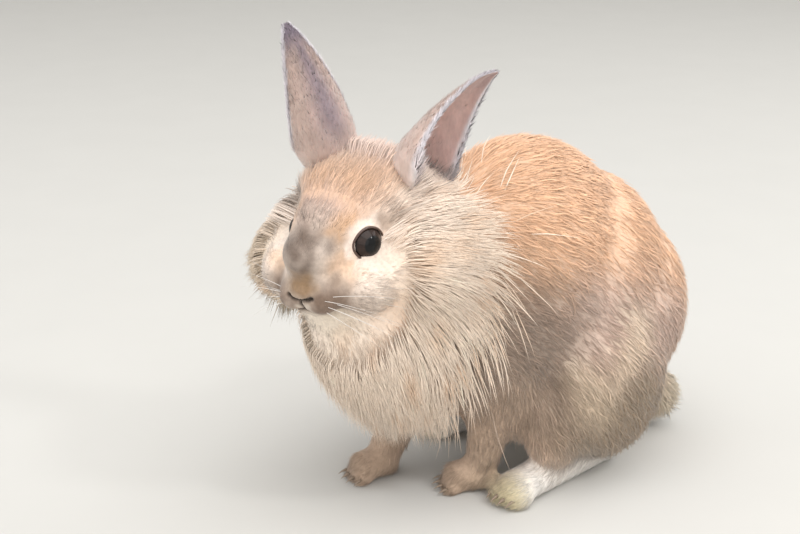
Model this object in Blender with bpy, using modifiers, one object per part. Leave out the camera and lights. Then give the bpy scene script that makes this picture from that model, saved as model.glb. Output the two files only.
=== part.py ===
"""Lionhead rabbit, standing, at life size.

The rabbit faces -Y, its left side is +X and +Z is up. Sizes are in millimetres and become metres
in the mesh. The flesh is modelled whole from rounded masses that flow into one another, then parted
with thin cuts into the pieces that a person would name.
"""

import math
import random

import bmesh
import bpy
from mathutils import Matrix, Vector
from mathutils.bvhtree import BVHTree

MM = 0.001

# Driving dimensions, in millimetres.
GAP = 0.3
GRAIN = 1.6
BLEND_PASSES = 7
FLOW_PASSES = 60
FLESH_TRIANGLES = 4300
FACE_DETAIL = 0.00001
FLOOR_SINK = 1.6

# The head: where its middle is, how far it turns to the rabbit's left and how far the nose dips.
HEAD_MIDDLE = (8, -110, 138)
HEAD_TURN = 32
HEAD_DIP = 15

# Rounded masses as (middle, half sizes, turn about X, Y and Z in degrees).
TRUNK = {
    "rump": ((3, 37, 79), (51, 46, 54), (0, 0, 0)),
    "dock": ((6, 60, 38), (22, 17, 20), (0, 0, 0)),
    "haunch": ((2, 20, 94), (53, 50, 59), (0, 0, 0)),
    "loin": ((2, -9, 103), (53, 58, 68), (0, 0, 0)),
    "belly": ((2, 0, 74), (45, 62, 44), (0, 0, 0)),
    "ribs": ((4, -30, 92), (46, 46, 62), (0, 0, 0)),
    "chest": ((8, -54, 82), (38, 34, 44), (0, 0, 0)),
    "nape": ((6, -68, 122), (35, 38, 36), (0, 0, 0)),
    "throat": ((12, -76, 100), (34, 30, 38), (0, 0, 0)),
}
HEAD = {
    "cranium": ((0, 14, 7), (25, 30, 23), (0, 0, 0)),
    "forehead": ((0, -4, 6), (18, 22, 16), (-20, 0, 0)),
    "bridge": ((0, -14, -1), (16, 23, 14), (-24, 0, 0)),
    "muzzle": ((0, -22, -11), (16, 14, 13), (0, 0, 0)),
    "nose": ((0, -33.5, -9), (6, 5, 5), (0, 0, 0)),
    "chin": ((0, -21, -21), (10, 12, 8), (0, 0, 0)),
    "beard": ((3, -8, -33), (24, 17, 20), (0, 0, 0)),
}
HEAD_PAIRS = {
    "cheek": ((18, 8, -10), (18, 22, 20), (0, 0, 0)),
    "jowl": ((20, -9, -15), (15, 19, 15), (0, 0, 0)),
    "pad": ((7, -28.5, -15), (9, 9, 8), (0, 0, 0)),
    "brow": ((12, -3, 10), (8, 13, 7), (0, 0, 0)),
    "ear_base": ((16, 24, 11), (15, 15, 14), (0, 0, 0)),
}
MANE = {
    "ruff_left": ((29, 8, -16), (20, 20, 22), (0, 0, 0)),
    "ruff_right": ((-29, 4, -22), (21, 18, 20), (0, 0, 0)),
    "collar": ((9, 16, -28), (38, 24, 32), (0, 0, 0)),
    "bib": ((10, 0, -54), (34, 27, 36), (0, 0, 0)),
    "crown": ((1, 18, 20), (18, 15, 11), (0, 0, 0)),
}
TAIL_MIDDLE = (9, 75, 23)
TAIL_SIZE = (12, 12, 14)

# Locks of the mane and tail. Each band grows from one piece: it is seen from a hub inside the
# flesh, aimed at a compass turn (0 is forward, 90 is the left side), and flows one way. Its rows
# are (slope up, from turn, to turn, count, length). All but the tail's are in the head's frame.
BANDS = (
    {"node": "head", "hub": (18, 5, -13), "aim": 90, "flow": (0.4, 0.62, -0.7), "lift": 10,
     "width": 12, "rows": ((36, -22, 42, 3, 22), (12, -36, 44, 4, 29), (-14, -45, 45, 4, 30),
                           (-42, -50, 40, 4, 26))},
    {"node": "head", "hub": (-19, 3, -19), "aim": -90, "flow": (-0.6, 0.2, -0.8), "lift": 13,
     "width": 12, "rows": ((2, -20, 25, 2, 24), (-12, -45, 35, 4, 28), (-34, -45, 45, 4, 27),
                           (-58, -40, 50, 3, 22))},
    {"node": "head", "hub": (1, 17, 8), "aim": 180, "flow": (0, 0.9, 0.25), "lift": 7,
     "width": 8, "rows": ((78, -80, 80, 3, 14), (52, -75, 75, 3, 18))},
    {"node": "neck", "hub": (10, 8, -46), "aim": 0, "flow": (0.12, 0.02, -1), "lift": 12,
     "width": 14, "rows": ((-10, -95, 105, 6, 30), (-34, -92, 102, 6, 28), (-62, -120, 120, 5, 18))},
    {"node": "neck", "hub": (3, 32, 2), "aim": 180, "flow": (0, 1, -0.3), "lift": 6,
     "width": 12, "rows": ((74, -70, 70, 2, 22), (50, -70, 70, 3, 24))},
    {"node": "tail", "hub": (9, 74, 24), "aim": 180, "flow": (0, 0.6, -0.8), "lift": 6,
     "width": 9, "rows": ((25, -80, 80, 4, 13), (-12, -95, 95, 5, 13))},
)
LOCK_SINK = 3.5
LOCK_THICKNESS = 2.6
LOCK_WIDTHS = (0.8, 1, 0.8, 0.12)
LOCK_DEPTHS = (1, 1, 0.75, 0.22)
LOCK_JITTER = 0.16
SEED = 7

# The eyes, in the head's own frame for the left one: ball, lids over it and the opening in them.
EYE_MIDDLE = (12, -5, 2)
EYE_RADIUS = 9
LID = 1.2
EYE_LOOK = (0.9, -0.38, 0.16)
EYE_OPENING = (7.2, 6.8)

# Mouth, lips and nostrils as thin grooves along lines in the head's own frame.
MOUTH_LINES = {
    "philtrum": (((0, -39, -13), (0, -38.5, -17), (0, -36.5, -21)), 0.5),
    "lip_left": (((0, -37, -20.5), (5, -34.5, -22), (9.5, -28, -21.5), (12, -21, -20)), 0.55),
    "lip_right": (((0, -37, -20.5), (-5, -34.5, -22), (-9.5, -28, -21.5), (-12, -21, -20)), 0.55),
    "nostril_left": (((0.8, -39.2, -11.8), (3, -38, -10.2), (4.6, -36, -8.8)), 0.65),
    "nostril_right": (((-0.8, -39.2, -11.8), (-3, -38, -10.2), (-4.6, -36, -8.8)), 0.65),
}

# Hind legs: thigh and knee masses, then the long flat foot from heel to toes.
THIGHS = {
    "left": ((42, 18, 55), (22, 34, 43), (0, 0, 0)),
    "right": ((-38, 20, 55), (22, 34, 43), (0, 0, 0)),
}
KNEES = {
    "left": ((40, -11, 38), (16, 20, 26), (0, 0, 0)),
    "right": ((-38, -8, 38), (16, 20, 26), (0, 0, 0)),
}
HIND_FEET = {"left": ((27, 29), (44, -43)), "right": ((-25, 31), (-40, -38))}
HIND_FOOT_WIDTH = 10.5
HIND_FOOT_HEIGHT = 9

# Forelegs: elbow, wrist and toes as points in space, with the limb's radius at each.
FORELEGS = {
    "left": (((28, -34, 62), 18), ((24, -39, 30), 12), ((22, -41, 12), 9)),
    "right": (((-18, -48, 60), 17), ((-15, -66, 30), 12.5), ((-13, -76, 12), 9.5)),
}
FOREPAW_LENGTH = 26
FOREPAW_RADIUS = 9

# Ears: root in the head's own frame, tip in space, the way that the cup opens, how far the
# midline bows the other way, and the width as a share of the table's below.
EARS = {
    "left": {"root": (16, 27, 6), "tip": (31, -43, 207), "opens": (0.86, 0.5, 0.1), "bow": 3,
             "width": 1.24},
    "right": {"root": (-15, 28, 6), "tip": (-35, -114, 224), "opens": (-0.96, 0.05, 0.1), "bow": 7,
              "width": 1.08},
}
EAR_WALL = 2.2

# Along the ear as shares of its length: half its width along the skin, and half its curl in degrees.
EAR_HALF_WIDTHS = (
    (0, 26), (0.12, 28), (0.25, 26), (0.35, 23), (0.5, 18.5), (0.65, 13.5), (0.8, 8.5),
    (0.93, 4.2), (1, 1.2),
)
EAR_CURLS = ((0, 145), (0.2, 118), (0.35, 100), (0.5, 86), (0.8, 60), (1, 40))

# Parting lines: rounded cutters as (middle, half sizes, turn), and planes as (point, normal).
HEAD_CUT = ((0, 2, -3), (74, 47, 50), (0, 0, 0))
COLLAR = ((14, -89, 96), (64, 46, 70), (0, 0, 0))
TAIL_CUT = ((9, 80, 19), (21, 20, 23), (0, 0, 0))
THIGH_CUTS = {
    "left": ((48, 10, 40), (25, 56, 64), (0, 0, 0)),
    "right": ((-46, 12, 40), (25, 56, 64), (0, 0, 0)),
}
HIND_FOOT_CUTS = {
    "left": ((34, -8, 2), (19, 52, 20), (0, 0, 13)),
    "right": ((-31, -4, 2), (19, 52, 20), (0, 0, -12)),
}
FORELEG_CUTS = {
    "left": ((28, -38, 24), (23, 24, 40), (0, 0, 0)),
    "right": ((-16, -64, 22), (22, 26, 42), (22, 0, 0)),
}
WRIST_HEIGHT = 14
CLEAR_OF = (
    ("head", ("ear_left", "ear_right")),
    ("neck", ("head",)),
    ("torso", ("head", "neck", "tail")),
    ("foreleg_left", ("neck",)),
    ("foreleg_right", ("neck",)),
    ("thigh_left", ("tail",)),
    ("thigh_right", ("tail",)),
)


# Colour (linear) and roughness of each piece.
FUR = 0.85
COLOURS = {
    "torso": ("coat_fawn", (0.60, 0.42, 0.28), FUR),
    "neck": ("coat_bib", (0.62, 0.54, 0.42), FUR),
    "head": ("coat_face", (0.62, 0.52, 0.44), FUR),
    "tail": ("coat_tail", (0.55, 0.52, 0.44), FUR),
    "ear_left": ("coat_ear_left", (0.47, 0.38, 0.35), FUR),
    "ear_right": ("coat_ear_right", (0.47, 0.38, 0.35), FUR),
    "eye_left": ("eye_left_gloss", (0.03, 0.02, 0.015), 0.08),
    "eye_right": ("eye_right_gloss", (0.03, 0.02, 0.015), 0.08),
    "foreleg_left": ("coat_foreleg_left", (0.42, 0.32, 0.22), FUR),
    "foreleg_right": ("coat_foreleg_right", (0.42, 0.32, 0.22), FUR),
    "forepaw_left": ("coat_forepaw_left", (0.50, 0.40, 0.30), FUR),
    "forepaw_right": ("coat_forepaw_right", (0.50, 0.40, 0.30), FUR),
    "thigh_left": ("coat_thigh_left", (0.48, 0.38, 0.30), FUR),
    "thigh_right": ("coat_thigh_right", (0.48, 0.38, 0.30), FUR),
    "hind_foot_left": ("coat_hind_foot_left", (0.78, 0.74, 0.66), FUR),
    "hind_foot_right": ("coat_hind_foot_right", (0.78, 0.74, 0.66), FUR),
}


def clear_scene():
    for found in list(bpy.data.objects):
        bpy.data.objects.remove(found, do_unlink=True)


def collection(name):
    made = bpy.data.collections.new(name)
    bpy.context.scene.collection.children.link(made)
    return made


def paint(name, colour, roughness):
    """A material with the part's own colour, roughness and no metal."""
    made = bpy.data.materials.new(name)
    made.use_nodes = True
    shader = made.node_tree.nodes["Principled BSDF"]
    shader.inputs["Base Color"].default_value = (*colour, 1)
    shader.inputs["Roughness"].default_value = roughness
    shader.inputs["Metallic"].default_value = 0
    return made


def head_frame():
    """The head's place and turn, as a matrix from the head's own millimetres to space."""
    dip = Matrix.Rotation(math.radians(HEAD_DIP), 4, "X")
    turn = Matrix.Rotation(math.radians(HEAD_TURN), 4, "Z")
    return Matrix.Translation(HEAD_MIDDLE) @ turn @ dip


def mesh_object(name, home, mesh):
    """An object in its collection; what is in a hidden collection, such as a cutter, is a wire."""
    made = bpy.data.objects.new(name, mesh)
    made.hide_render = home.hide_render
    made.display_type = "WIRE" if home.hide_render else "TEXTURED"
    home.objects.link(made)
    return made


def mass(form, frame=None, segments=32, rings=20):
    """One rounded mass as a mesh: a sphere stretched to its half sizes, turned and set in place."""
    middle, half, turn = form
    shape = bmesh.new()
    bmesh.ops.create_uvsphere(shape, u_segments=segments, v_segments=rings, radius=1)
    turned = Matrix.LocRotScale(Vector(middle), None, None)
    for axis, angle in zip("XYZ", turn):
        turned = turned @ Matrix.Rotation(math.radians(angle), 4, axis)
    placed = (frame or Matrix()) @ turned @ Matrix.Diagonal((*half, 1))
    bmesh.ops.transform(shape, matrix=Matrix.Scale(MM, 4) @ placed, verts=shape.verts)
    mesh = bpy.data.meshes.new("mass")
    shape.to_mesh(mesh)
    shape.free()
    return mesh


def mirrored(form):
    middle, half, turn = form
    return ((-middle[0], middle[1], middle[2]), half, (turn[0], -turn[1], -turn[2]))


def between(start, end, share):
    return tuple(a + (b - a) * share for a, b in zip(start, end))


def limb(points, steps=7):
    """Masses strung along a bent limb, each as wide as the limb is there."""
    made = []
    for (start, wide), (end, narrow) in zip(points, points[1:]):
        for step in range(steps):
            share = step / steps
            radius = wide + (narrow - wide) * share
            made.append((between(start, end, share), (radius, radius, radius), (0, 0, 0)))
    end, narrow = points[-1]
    return made + [(end, (narrow, narrow, narrow), (0, 0, 0))]


def forepaw(wrist, heading):
    """The paw in front of a wrist: a low pad and four toes fanned about its heading."""
    low = FOREPAW_RADIUS - FLOOR_SINK
    made = []
    forward = Vector((math.sin(heading), -math.cos(heading), 0))
    side = Vector((math.cos(heading), math.sin(heading), 0))
    for step in range(4):
        place = Vector((wrist[0], wrist[1], low)) + forward * (FOREPAW_LENGTH * 0.14 * step)
        made.append((tuple(place), (FOREPAW_RADIUS, FOREPAW_RADIUS, FOREPAW_RADIUS), (0, 0, 0)))
    for toe in (-1.5, -0.5, 0.5, 1.5):
        reach = FOREPAW_LENGTH * (0.62 - 0.05 * abs(toe))
        place = Vector((wrist[0], wrist[1], 0)) + forward * reach + side * (toe * 4)
        place.z = 4.6 - FLOOR_SINK
        made.append((tuple(place), (3.4, 6.2, 4.6), (0, 0, math.degrees(heading) + toe * 6)))
    return made


def hind_foot(heel, toes):
    """The long flat hind foot: an even sole from heel to instep, and four toes at its end."""
    heel, toes = Vector((*heel, 0)), Vector((*toes, 0))
    forward = (toes - heel).normalized()
    side = Vector((-forward.y, forward.x, 0))
    heading = math.degrees(math.atan2(forward.x, -forward.y))
    made = []
    for step in range(9):
        share = step / 8
        place = heel.lerp(toes - forward * 12, share)
        high = HIND_FOOT_HEIGHT + 4 * (1 - share)
        wide = HIND_FOOT_WIDTH * (0.82 + 0.18 * share)
        place.z = high - FLOOR_SINK
        made.append((tuple(place), (wide, 12, high), (0, 0, heading)))
    for toe in (-1.5, -0.5, 0.5, 1.5):
        place = toes - forward * (5 + 1.4 * abs(toe)) + side * (toe * 5)
        place.z = 6.2 - FLOOR_SINK
        made.append((tuple(place), (4.2, 8.5, 6.2), (0, 0, heading + toe * -4)))
    return made


def flesh_forms():
    """Every mass of the flesh with the frame that it is given in."""
    head = head_frame()
    made = [(form, None) for form in TRUNK.values()]
    made += [(form, head) for form in HEAD.values()]
    for form in HEAD_PAIRS.values():
        made += [(form, head), (mirrored(form), head)]
    made += [(form, head) for form in MANE.values()]
    made += [(eye_form(side, EYE_RADIUS + LID), head) for side in ("left", "right")]
    made.append(((TAIL_MIDDLE, TAIL_SIZE, (-14, 0, 0)), None))
    for side in ("left", "right"):
        made += [(THIGHS[side], None), (KNEES[side], None)]
        made += [(form, None) for form in hind_foot(*HIND_FEET[side])]
        made += [(form, None) for form in limb(FORELEGS[side])]
        shin = Vector(FORELEGS[side][2][0]) - Vector(FORELEGS[side][1][0])
        heading = math.atan2(shin.x, -shin.y) * 0.4
        made += [(form, None) for form in forepaw(FORELEGS[side][2][0], heading)]
    return made


def applied(thing, home):
    """The object's evaluated mesh as a new plain mesh object; the old object goes."""
    graph = bpy.context.evaluated_depsgraph_get()
    mesh = bpy.data.meshes.new_from_object(thing.evaluated_get(graph))
    name = thing.name
    old = thing.data
    bpy.data.objects.remove(thing, do_unlink=True)
    bpy.data.meshes.remove(old)
    mesh.name = name
    return mesh_object(name, home, mesh)


def softness(place):
    """How freely the flesh flows together: not at all on the face and feet, fully on the trunk."""
    from_face = (place - head_frame() @ Vector((0, -14, -4))).length
    return max(0, min(1, (from_face - 27) / 16, (place.z - 16) / 22))


def coarseness(place):
    """How far the mesh may be thinned: least on the muzzle and round the eyes."""
    muzzle = (place - head_frame() @ Vector((0, -28, -13))).length
    eyes = [head_frame() @ Vector(opposite(EYE_MIDDLE, side)) for side in ("left", "right")]
    from_eye = min((place - eye).length for eye in eyes)
    return max(0, min(1, (muzzle - 14) / 12, (from_eye - 10) / 8))


def whole_flesh(home):
    """All masses run together by a voxel remesh, smoothed, thinned out and stood on flat soles."""
    joined = bmesh.new()
    for form, frame in flesh_forms():
        piece = mass(form, frame)
        joined.from_mesh(piece)
        bpy.data.meshes.remove(piece)
    mesh = bpy.data.meshes.new("whole")
    joined.to_mesh(mesh)
    joined.free()
    whole = mesh_object("whole", home, mesh)
    grain = whole.modifiers.new("grain", "REMESH")
    grain.mode = "VOXEL"
    grain.voxel_size = GRAIN * MM
    blend = whole.modifiers.new("blend", "SMOOTH")
    blend.factor = 0.5
    blend.iterations = BLEND_PASSES
    whole = applied(whole, home)
    soft = whole.vertex_groups.new(name="soft")
    for vert in whole.data.vertices:
        soft.add([vert.index], softness(vert.co / MM), "REPLACE")
    flow = whole.modifiers.new("flow", "SMOOTH")
    flow.factor = 0.5
    flow.iterations = FLOW_PASSES
    flow.vertex_group = "soft"
    whole = applied(whole, home)
    faces = sum(len(face.vertices) - 2 for face in whole.data.polygons)
    coarse = whole.vertex_groups.new(name="coarse")
    for vert in whole.data.vertices:
        coarse.add([vert.index], coarseness(vert.co / MM), "REPLACE")
    thin = whole.modifiers.new("thin", "DECIMATE")
    thin.ratio = FLESH_TRIANGLES / faces
    thin.vertex_group = "coarse"
    thin.vertex_group_factor = FACE_DETAIL
    whole = applied(whole, home)
    return cut(whole, slab(home, "floor", (0, 0, -50), (600, 600, 100)), home)


def slab(home, name, middle, size, frame=None):
    shape = bmesh.new()
    bmesh.ops.create_cube(shape, size=1)
    placed = (frame or Matrix()) @ Matrix.Translation(middle) @ Matrix.Diagonal((*size, 1))
    bmesh.ops.transform(shape, matrix=Matrix.Scale(MM, 4) @ placed, verts=shape.verts)
    mesh = bpy.data.meshes.new(name)
    shape.to_mesh(mesh)
    shape.free()
    return mesh_object(name, home, mesh)


def cut(thing, cutter, home, keep_inside=False, solver="EXACT"):
    """The thing without the cutter's space, or only what lies inside it. The cutter goes."""
    boolean = thing.modifiers.new("cut", "BOOLEAN")
    boolean.operation = "INTERSECT" if keep_inside else "DIFFERENCE"
    boolean.solver = solver
    boolean.object = cutter
    made = applied(thing, home)
    old = cutter.data
    bpy.data.objects.remove(cutter, do_unlink=True)
    bpy.data.meshes.remove(old)
    return made


def copy_of(thing, name, home):
    """A second object of the same shape."""
    return mesh_object(name, home, thing.data.copy())


def grown(form, by):
    middle, half, turn = form
    return (middle, tuple(size + by for size in half), turn)


def part_off(rest, name, cutter, home):
    """Parts the piece inside a cutter from the rest, with a thin gap between the two."""
    piece = copy_of(rest, name, home)
    piece = cut(piece, cutter(-GAP / 2), home, keep_inside=True)
    return largest(piece), largest(cut(rest, cutter(GAP / 2), home))


def largest(thing):
    """Keeps only the largest closed surface of a mesh, by its box."""
    shape = bmesh.new()
    shape.from_mesh(thing.data)
    left = set(shape.verts)
    shells = []
    while left:
        shell = {left.pop()}
        edge = list(shell)
        while edge:
            here = edge.pop()
            for link in here.link_edges:
                there = link.other_vert(here)
                if there in left:
                    left.discard(there)
                    shell.add(there)
                    edge.append(there)
        shells.append(shell)

    def extent(shell):
        places = [vert.co for vert in shell]
        size = [max(place[k] for place in places) - min(place[k] for place in places) for k in range(3)]
        return math.prod(size)

    shells.sort(key=extent, reverse=True)
    spare = [vert for shell in shells[1:] for vert in shell]
    bmesh.ops.delete(shape, geom=spare, context="VERTS")
    shape.to_mesh(thing.data)
    shape.free()
    return thing


def mass_cutter(name, form, frame, home):
    def made(by):
        return mesh_object(name, home, mass(grown(form, by), frame, 18, 10))

    return made


def slab_cutter(name, middle, size, frame, home):
    """A slab whose near face, at its -Z side, moves out as it grows."""

    def made(by):
        grown_middle = (middle[0], middle[1], middle[2] - by / 2)
        return slab(home, name, grown_middle, (size[0], size[1], size[2] + by), frame)

    return made


def facing(place, towards):
    """A frame at a point with its Z axis along a direction."""
    turn = Vector(towards).to_track_quat("Z", "Y").to_matrix().to_4x4()
    return Matrix.Translation(place) @ turn


def ear_path(side):
    """The ear's midline from a little inside the head to its tip, gently bowed."""
    ear = EARS[side]
    root = head_frame() @ Vector(ear["root"])
    tip = Vector(ear["tip"])
    bow = Vector(ear["opens"]).normalized() * ear["bow"]
    return lambda share: root.lerp(tip, share) - bow * math.sin(math.pi * share)


def along(table, share):
    """A value read from a table of (share, value) rows, in between by straight lines."""
    for (start, low), (end, high) in zip(table, table[1:]):
        if share <= end:
            return low + (high - low) * (share - start) / (end - start)
    return table[-1][1]


def ear_mesh(side):
    """The ear's skin: at each height an arc that is closed round at the root and opens upwards."""
    across, rows = 8, 11
    path = ear_path(side)
    opens = Vector(EARS[side]["opens"])
    points = []
    for row in range(rows + 1):
        share = row / rows
        here = path(share)
        way = (path(min(1, share + 0.02)) - path(max(0, share - 0.02))).normalized()
        out = (opens - way * opens.dot(way)).normalized()
        across_way = way.cross(out)
        curl = math.radians(along(EAR_CURLS, share))
        radius = along(EAR_HALF_WIDTHS, share) * EARS[side]["width"] / curl
        for column in range(across + 1):
            angle = curl * (2 * column / across - 1)
            offset = across_way * math.sin(angle) - out * math.cos(angle)
            points.append(tuple((here + offset * radius + out * radius * 0.3) * MM))
    width = across + 1
    faces = [
        (row * width + k, row * width + k + 1, (row + 1) * width + k + 1, (row + 1) * width + k)
        for row in range(rows)
        for k in range(across)
    ]
    mesh = bpy.data.meshes.new(f"ear_{side}")
    mesh.from_pydata(points, [], faces)
    return mesh


def make_ear(side, blocker, home, spare):
    ear = mesh_object(f"ear_{side}", home, ear_mesh(side))
    wall = ear.modifiers.new("wall", "SOLIDIFY")
    wall.thickness = EAR_WALL * MM
    wall.offset = 0
    wall.use_even_offset = True
    ear = applied(ear, home)
    return largest(cut(ear, swollen(blocker, 2 * GAP, spare), home))


def swollen(thing, by, home):
    """A copy of a thing pushed out along its normals, to cut its neighbours clear of it."""
    clear = copy_of(thing, "clear", home)
    grow = clear.modifiers.new("grow", "DISPLACE")
    grow.strength = by * MM
    grow.mid_level = 0
    return applied(clear, home)


def surface_of(thing):
    """A search tree over a thing's surface, in millimetres."""
    places = [vert.co / MM for vert in thing.data.vertices]
    return BVHTree.FromPolygons(places, [tuple(face.vertices) for face in thing.data.polygons])


def compass(turn, slope):
    """A direction from its turn (0 is -Y, 90 is +X) and its slope above the level, in degrees."""
    turn, slope = math.radians(turn), math.radians(slope)
    level = math.cos(slope)
    return Vector((math.sin(turn) * level, -math.cos(turn) * level, math.sin(slope)))


def lock_path(surface, root, normal, flow, length, lift):
    """Points from a sunk root along the flow, rising from the surface as the lock runs out."""
    steps = len(LOCK_WIDTHS) - 1
    level = flow - normal * flow.dot(normal)
    run = length * level.length / steps
    rise = lift + length * (1 - level.length) * max(0, flow.dot(normal))
    here, out = root, normal
    path = [root - normal * LOCK_SINK]
    normals = [normal]
    for step in range(1, steps + 1):
        way = flow - out * flow.dot(out)
        if way.length > 0.05:
            here, out, _, _ = surface.find_nearest(here + way.normalized() * run)
        path.append(here + out * rise * (step / steps) ** 1.15)
        normals.append(out)
    return path, normals


def lock_mesh(path, normals, width):
    """A flat tapered lock: a thin diamond carried along its path and closed at both ends."""
    points = []
    for k, (here, normal) in enumerate(zip(path, normals)):
        way = (path[min(k + 1, len(path) - 1)] - path[max(k - 1, 0)]).normalized()
        side = way.cross(normal).normalized() * (width * LOCK_WIDTHS[k] / 2)
        deep = way.cross(side).normalized() * (LOCK_THICKNESS * LOCK_DEPTHS[k] / 2)
        points += [here + side, here + deep, here - side, here - deep]
    shape = bmesh.new()
    verts = [shape.verts.new(point * MM) for point in points]
    for k in range(len(path) - 1):
        for corner in range(4):
            low, high = 4 * k, 4 * k + 4
            after = (corner + 1) % 4
            ring = (low + corner, low + after, high + after, high + corner)
            shape.faces.new([verts[k] for k in ring])
    shape.faces.new(verts[:4][::-1])
    shape.faces.new(verts[-4:])
    bmesh.ops.triangulate(shape, faces=shape.faces)
    bmesh.ops.recalc_face_normals(shape, faces=shape.faces)
    mesh = bpy.data.meshes.new("lock")
    shape.to_mesh(mesh)
    shape.free()
    return mesh


def band_locks(band, surface, chance):
    """The locks of one band, root by root, found by looking out from its hub."""
    frame = head_frame() if band["node"] != "tail" else Matrix()
    hub = frame @ Vector(band["hub"])
    flow = (frame.to_3x3() @ Vector(band["flow"])).normalized()
    for slope, start, end, count, length in band["rows"]:
        for k in range(count):
            turn = start + (end - start) * (k + 0.5 * chance.uniform(0.6, 1.4)) / count
            out = frame.to_3x3() @ compass(band["aim"] + turn, slope + chance.uniform(-5, 5))
            root, normal, _, _ = surface.ray_cast(hub + out * 90, -out)
            if root is None or (root - hub).dot(out) < 0:
                continue
            vary = 1 + chance.uniform(-LOCK_JITTER, LOCK_JITTER)
            sway = Vector([chance.uniform(-LOCK_JITTER, LOCK_JITTER) for _ in range(3)])
            way = (flow + sway).normalized()
            path, normals = lock_path(surface, root, normal, way, length * vary, band["lift"])
            yield lock_mesh(path, normals, band["width"] * vary)


def with_locks(pieces, surface):
    """Joins each band's locks to the piece that they grow from with one union."""
    chance = random.Random(SEED)
    for name in dict.fromkeys(band["node"] for band in BANDS):
        locks = collection(f"locks_{name}")
        locks.hide_render = True
        for band in [band for band in BANDS if band["node"] == name]:
            for mesh in band_locks(band, surface, chance):
                mesh_object("lock", locks, mesh)
        union = pieces[name].modifiers.new("locks", "BOOLEAN")
        union.operation = "UNION"
        union.operand_type = "COLLECTION"
        union.collection = locks
        union.solver = "MANIFOLD"
        pieces[name] = largest(applied(pieces[name], pieces[name].users_collection[0]))
        for lock in list(locks.objects):
            bpy.data.objects.remove(lock, do_unlink=True)
        bpy.data.collections.remove(locks)


def keep_clear(pieces, spare):
    """Cuts the locks and their neighbours clear of each other, the later piece giving way."""
    for name, others in CLEAR_OF:
        for other in others:
            home = pieces[name].users_collection[0]
            clear = swollen(pieces[other], GAP, spare)
            pieces[name] = largest(cut(pieces[name], clear, home, solver="MANIFOLD"))


def opposite(place, side):
    return place if side == "left" else (-place[0], *place[1:])


def eye_form(side, radius):
    return (opposite(EYE_MIDDLE, side), (radius, radius, radius), (0, 0, 0))


def eye_opening(side, home):
    """A short oval rod along the way the eye looks, to open the lids."""
    look = head_frame().to_3x3() @ Vector(opposite(EYE_LOOK, side))
    place = facing(head_frame() @ Vector(opposite(EYE_MIDDLE, side)), look)
    shape = bmesh.new()
    bmesh.ops.create_cone(
        shape, cap_ends=True, segments=16, radius1=0.9, radius2=1.08, depth=1,
        matrix=Matrix.Translation((0, 0, 0.5)),
    )
    stretched = place @ Matrix.Diagonal((EYE_OPENING[0], EYE_OPENING[1], 13, 1))
    bmesh.ops.transform(shape, matrix=Matrix.Scale(MM, 4) @ stretched, verts=shape.verts)
    mesh = bpy.data.meshes.new("opening")
    shape.to_mesh(mesh)
    shape.free()
    return mesh_object("opening", home, mesh)


def groove(name, points, radius, home):
    """A thin round-ended tube along a smooth line in the head's own frame."""
    line = bpy.data.curves.new(name, "CURVE")
    line.dimensions = "3D"
    line.bevel_depth = radius * MM
    line.bevel_resolution = 1
    line.resolution_u = 3
    line.use_fill_caps = True
    spline = line.splines.new("BEZIER")
    spline.bezier_points.add(len(points) - 1)
    for knot, point in zip(spline.bezier_points, points):
        knot.co = (head_frame() @ Vector(point)) * MM
        knot.handle_left_type = "AUTO"
        knot.handle_right_type = "AUTO"
    tube = bpy.data.objects.new(name, line)
    home.objects.link(tube)
    graph = bpy.context.evaluated_depsgraph_get()
    mesh = bpy.data.meshes.new_from_object(tube.evaluated_get(graph))
    bpy.data.objects.remove(tube, do_unlink=True)
    bpy.data.curves.remove(line)
    return mesh_object(name, home, mesh)


def make_eye(side, home):
    form = eye_form(side, EYE_RADIUS)
    return mesh_object(f"eye_{side}", home, mass(form, head_frame(), 16, 10))


def finish_face(head, home, spare):
    """Sockets, lid openings, mouth line and nostrils cut into the head."""
    for side in ("left", "right"):
        socket = mass(eye_form(side, EYE_RADIUS + GAP), head_frame(), 16, 10)
        head = cut(head, mesh_object("socket", spare, socket), home)
        head = cut(head, eye_opening(side, spare), home)
    for name, (points, radius) in MOUTH_LINES.items():
        head = cut(head, groove(name, points, radius, spare), home)
    return largest(head)


def part_legs(pieces, torso, home, spare):
    for side in ("left", "right"):
        for name, cutters in ((f"hind_foot_{side}", HIND_FOOT_CUTS), (f"thigh_{side}", THIGH_CUTS)):
            cutter = mass_cutter("cut", cutters[side], None, spare)
            pieces[name], torso = part_off(torso, name, cutter, home)
        leg = mass_cutter("cut", FORELEG_CUTS[side], None, spare)
        upper, torso = part_off(torso, f"foreleg_{side}", leg, home)
        ground = facing((0, 0, WRIST_HEIGHT), (0, 0, -1))
        wrist = slab_cutter("cut", (0, 0, 50), (400, 400, 100), ground, spare)
        pieces[f"forepaw_{side}"], upper = part_off(upper, f"forepaw_{side}", wrist, home)
        pieces[f"foreleg_{side}"] = upper
    return torso


def centre_on_floor(things):
    """Moves every piece so that the middle of the whole box's underside is the origin."""
    places = [vert.co for thing in things for vert in thing.data.vertices]
    low = Vector([min(place[k] for place in places) for k in range(3)])
    high = Vector([max(place[k] for place in places) for k in range(3)])
    shift = -Vector(((low.x + high.x) / 2, (low.y + high.y) / 2, low.z))
    for thing in things:
        thing.data.transform(Matrix.Translation(shift))
        thing.data.update()


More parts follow.
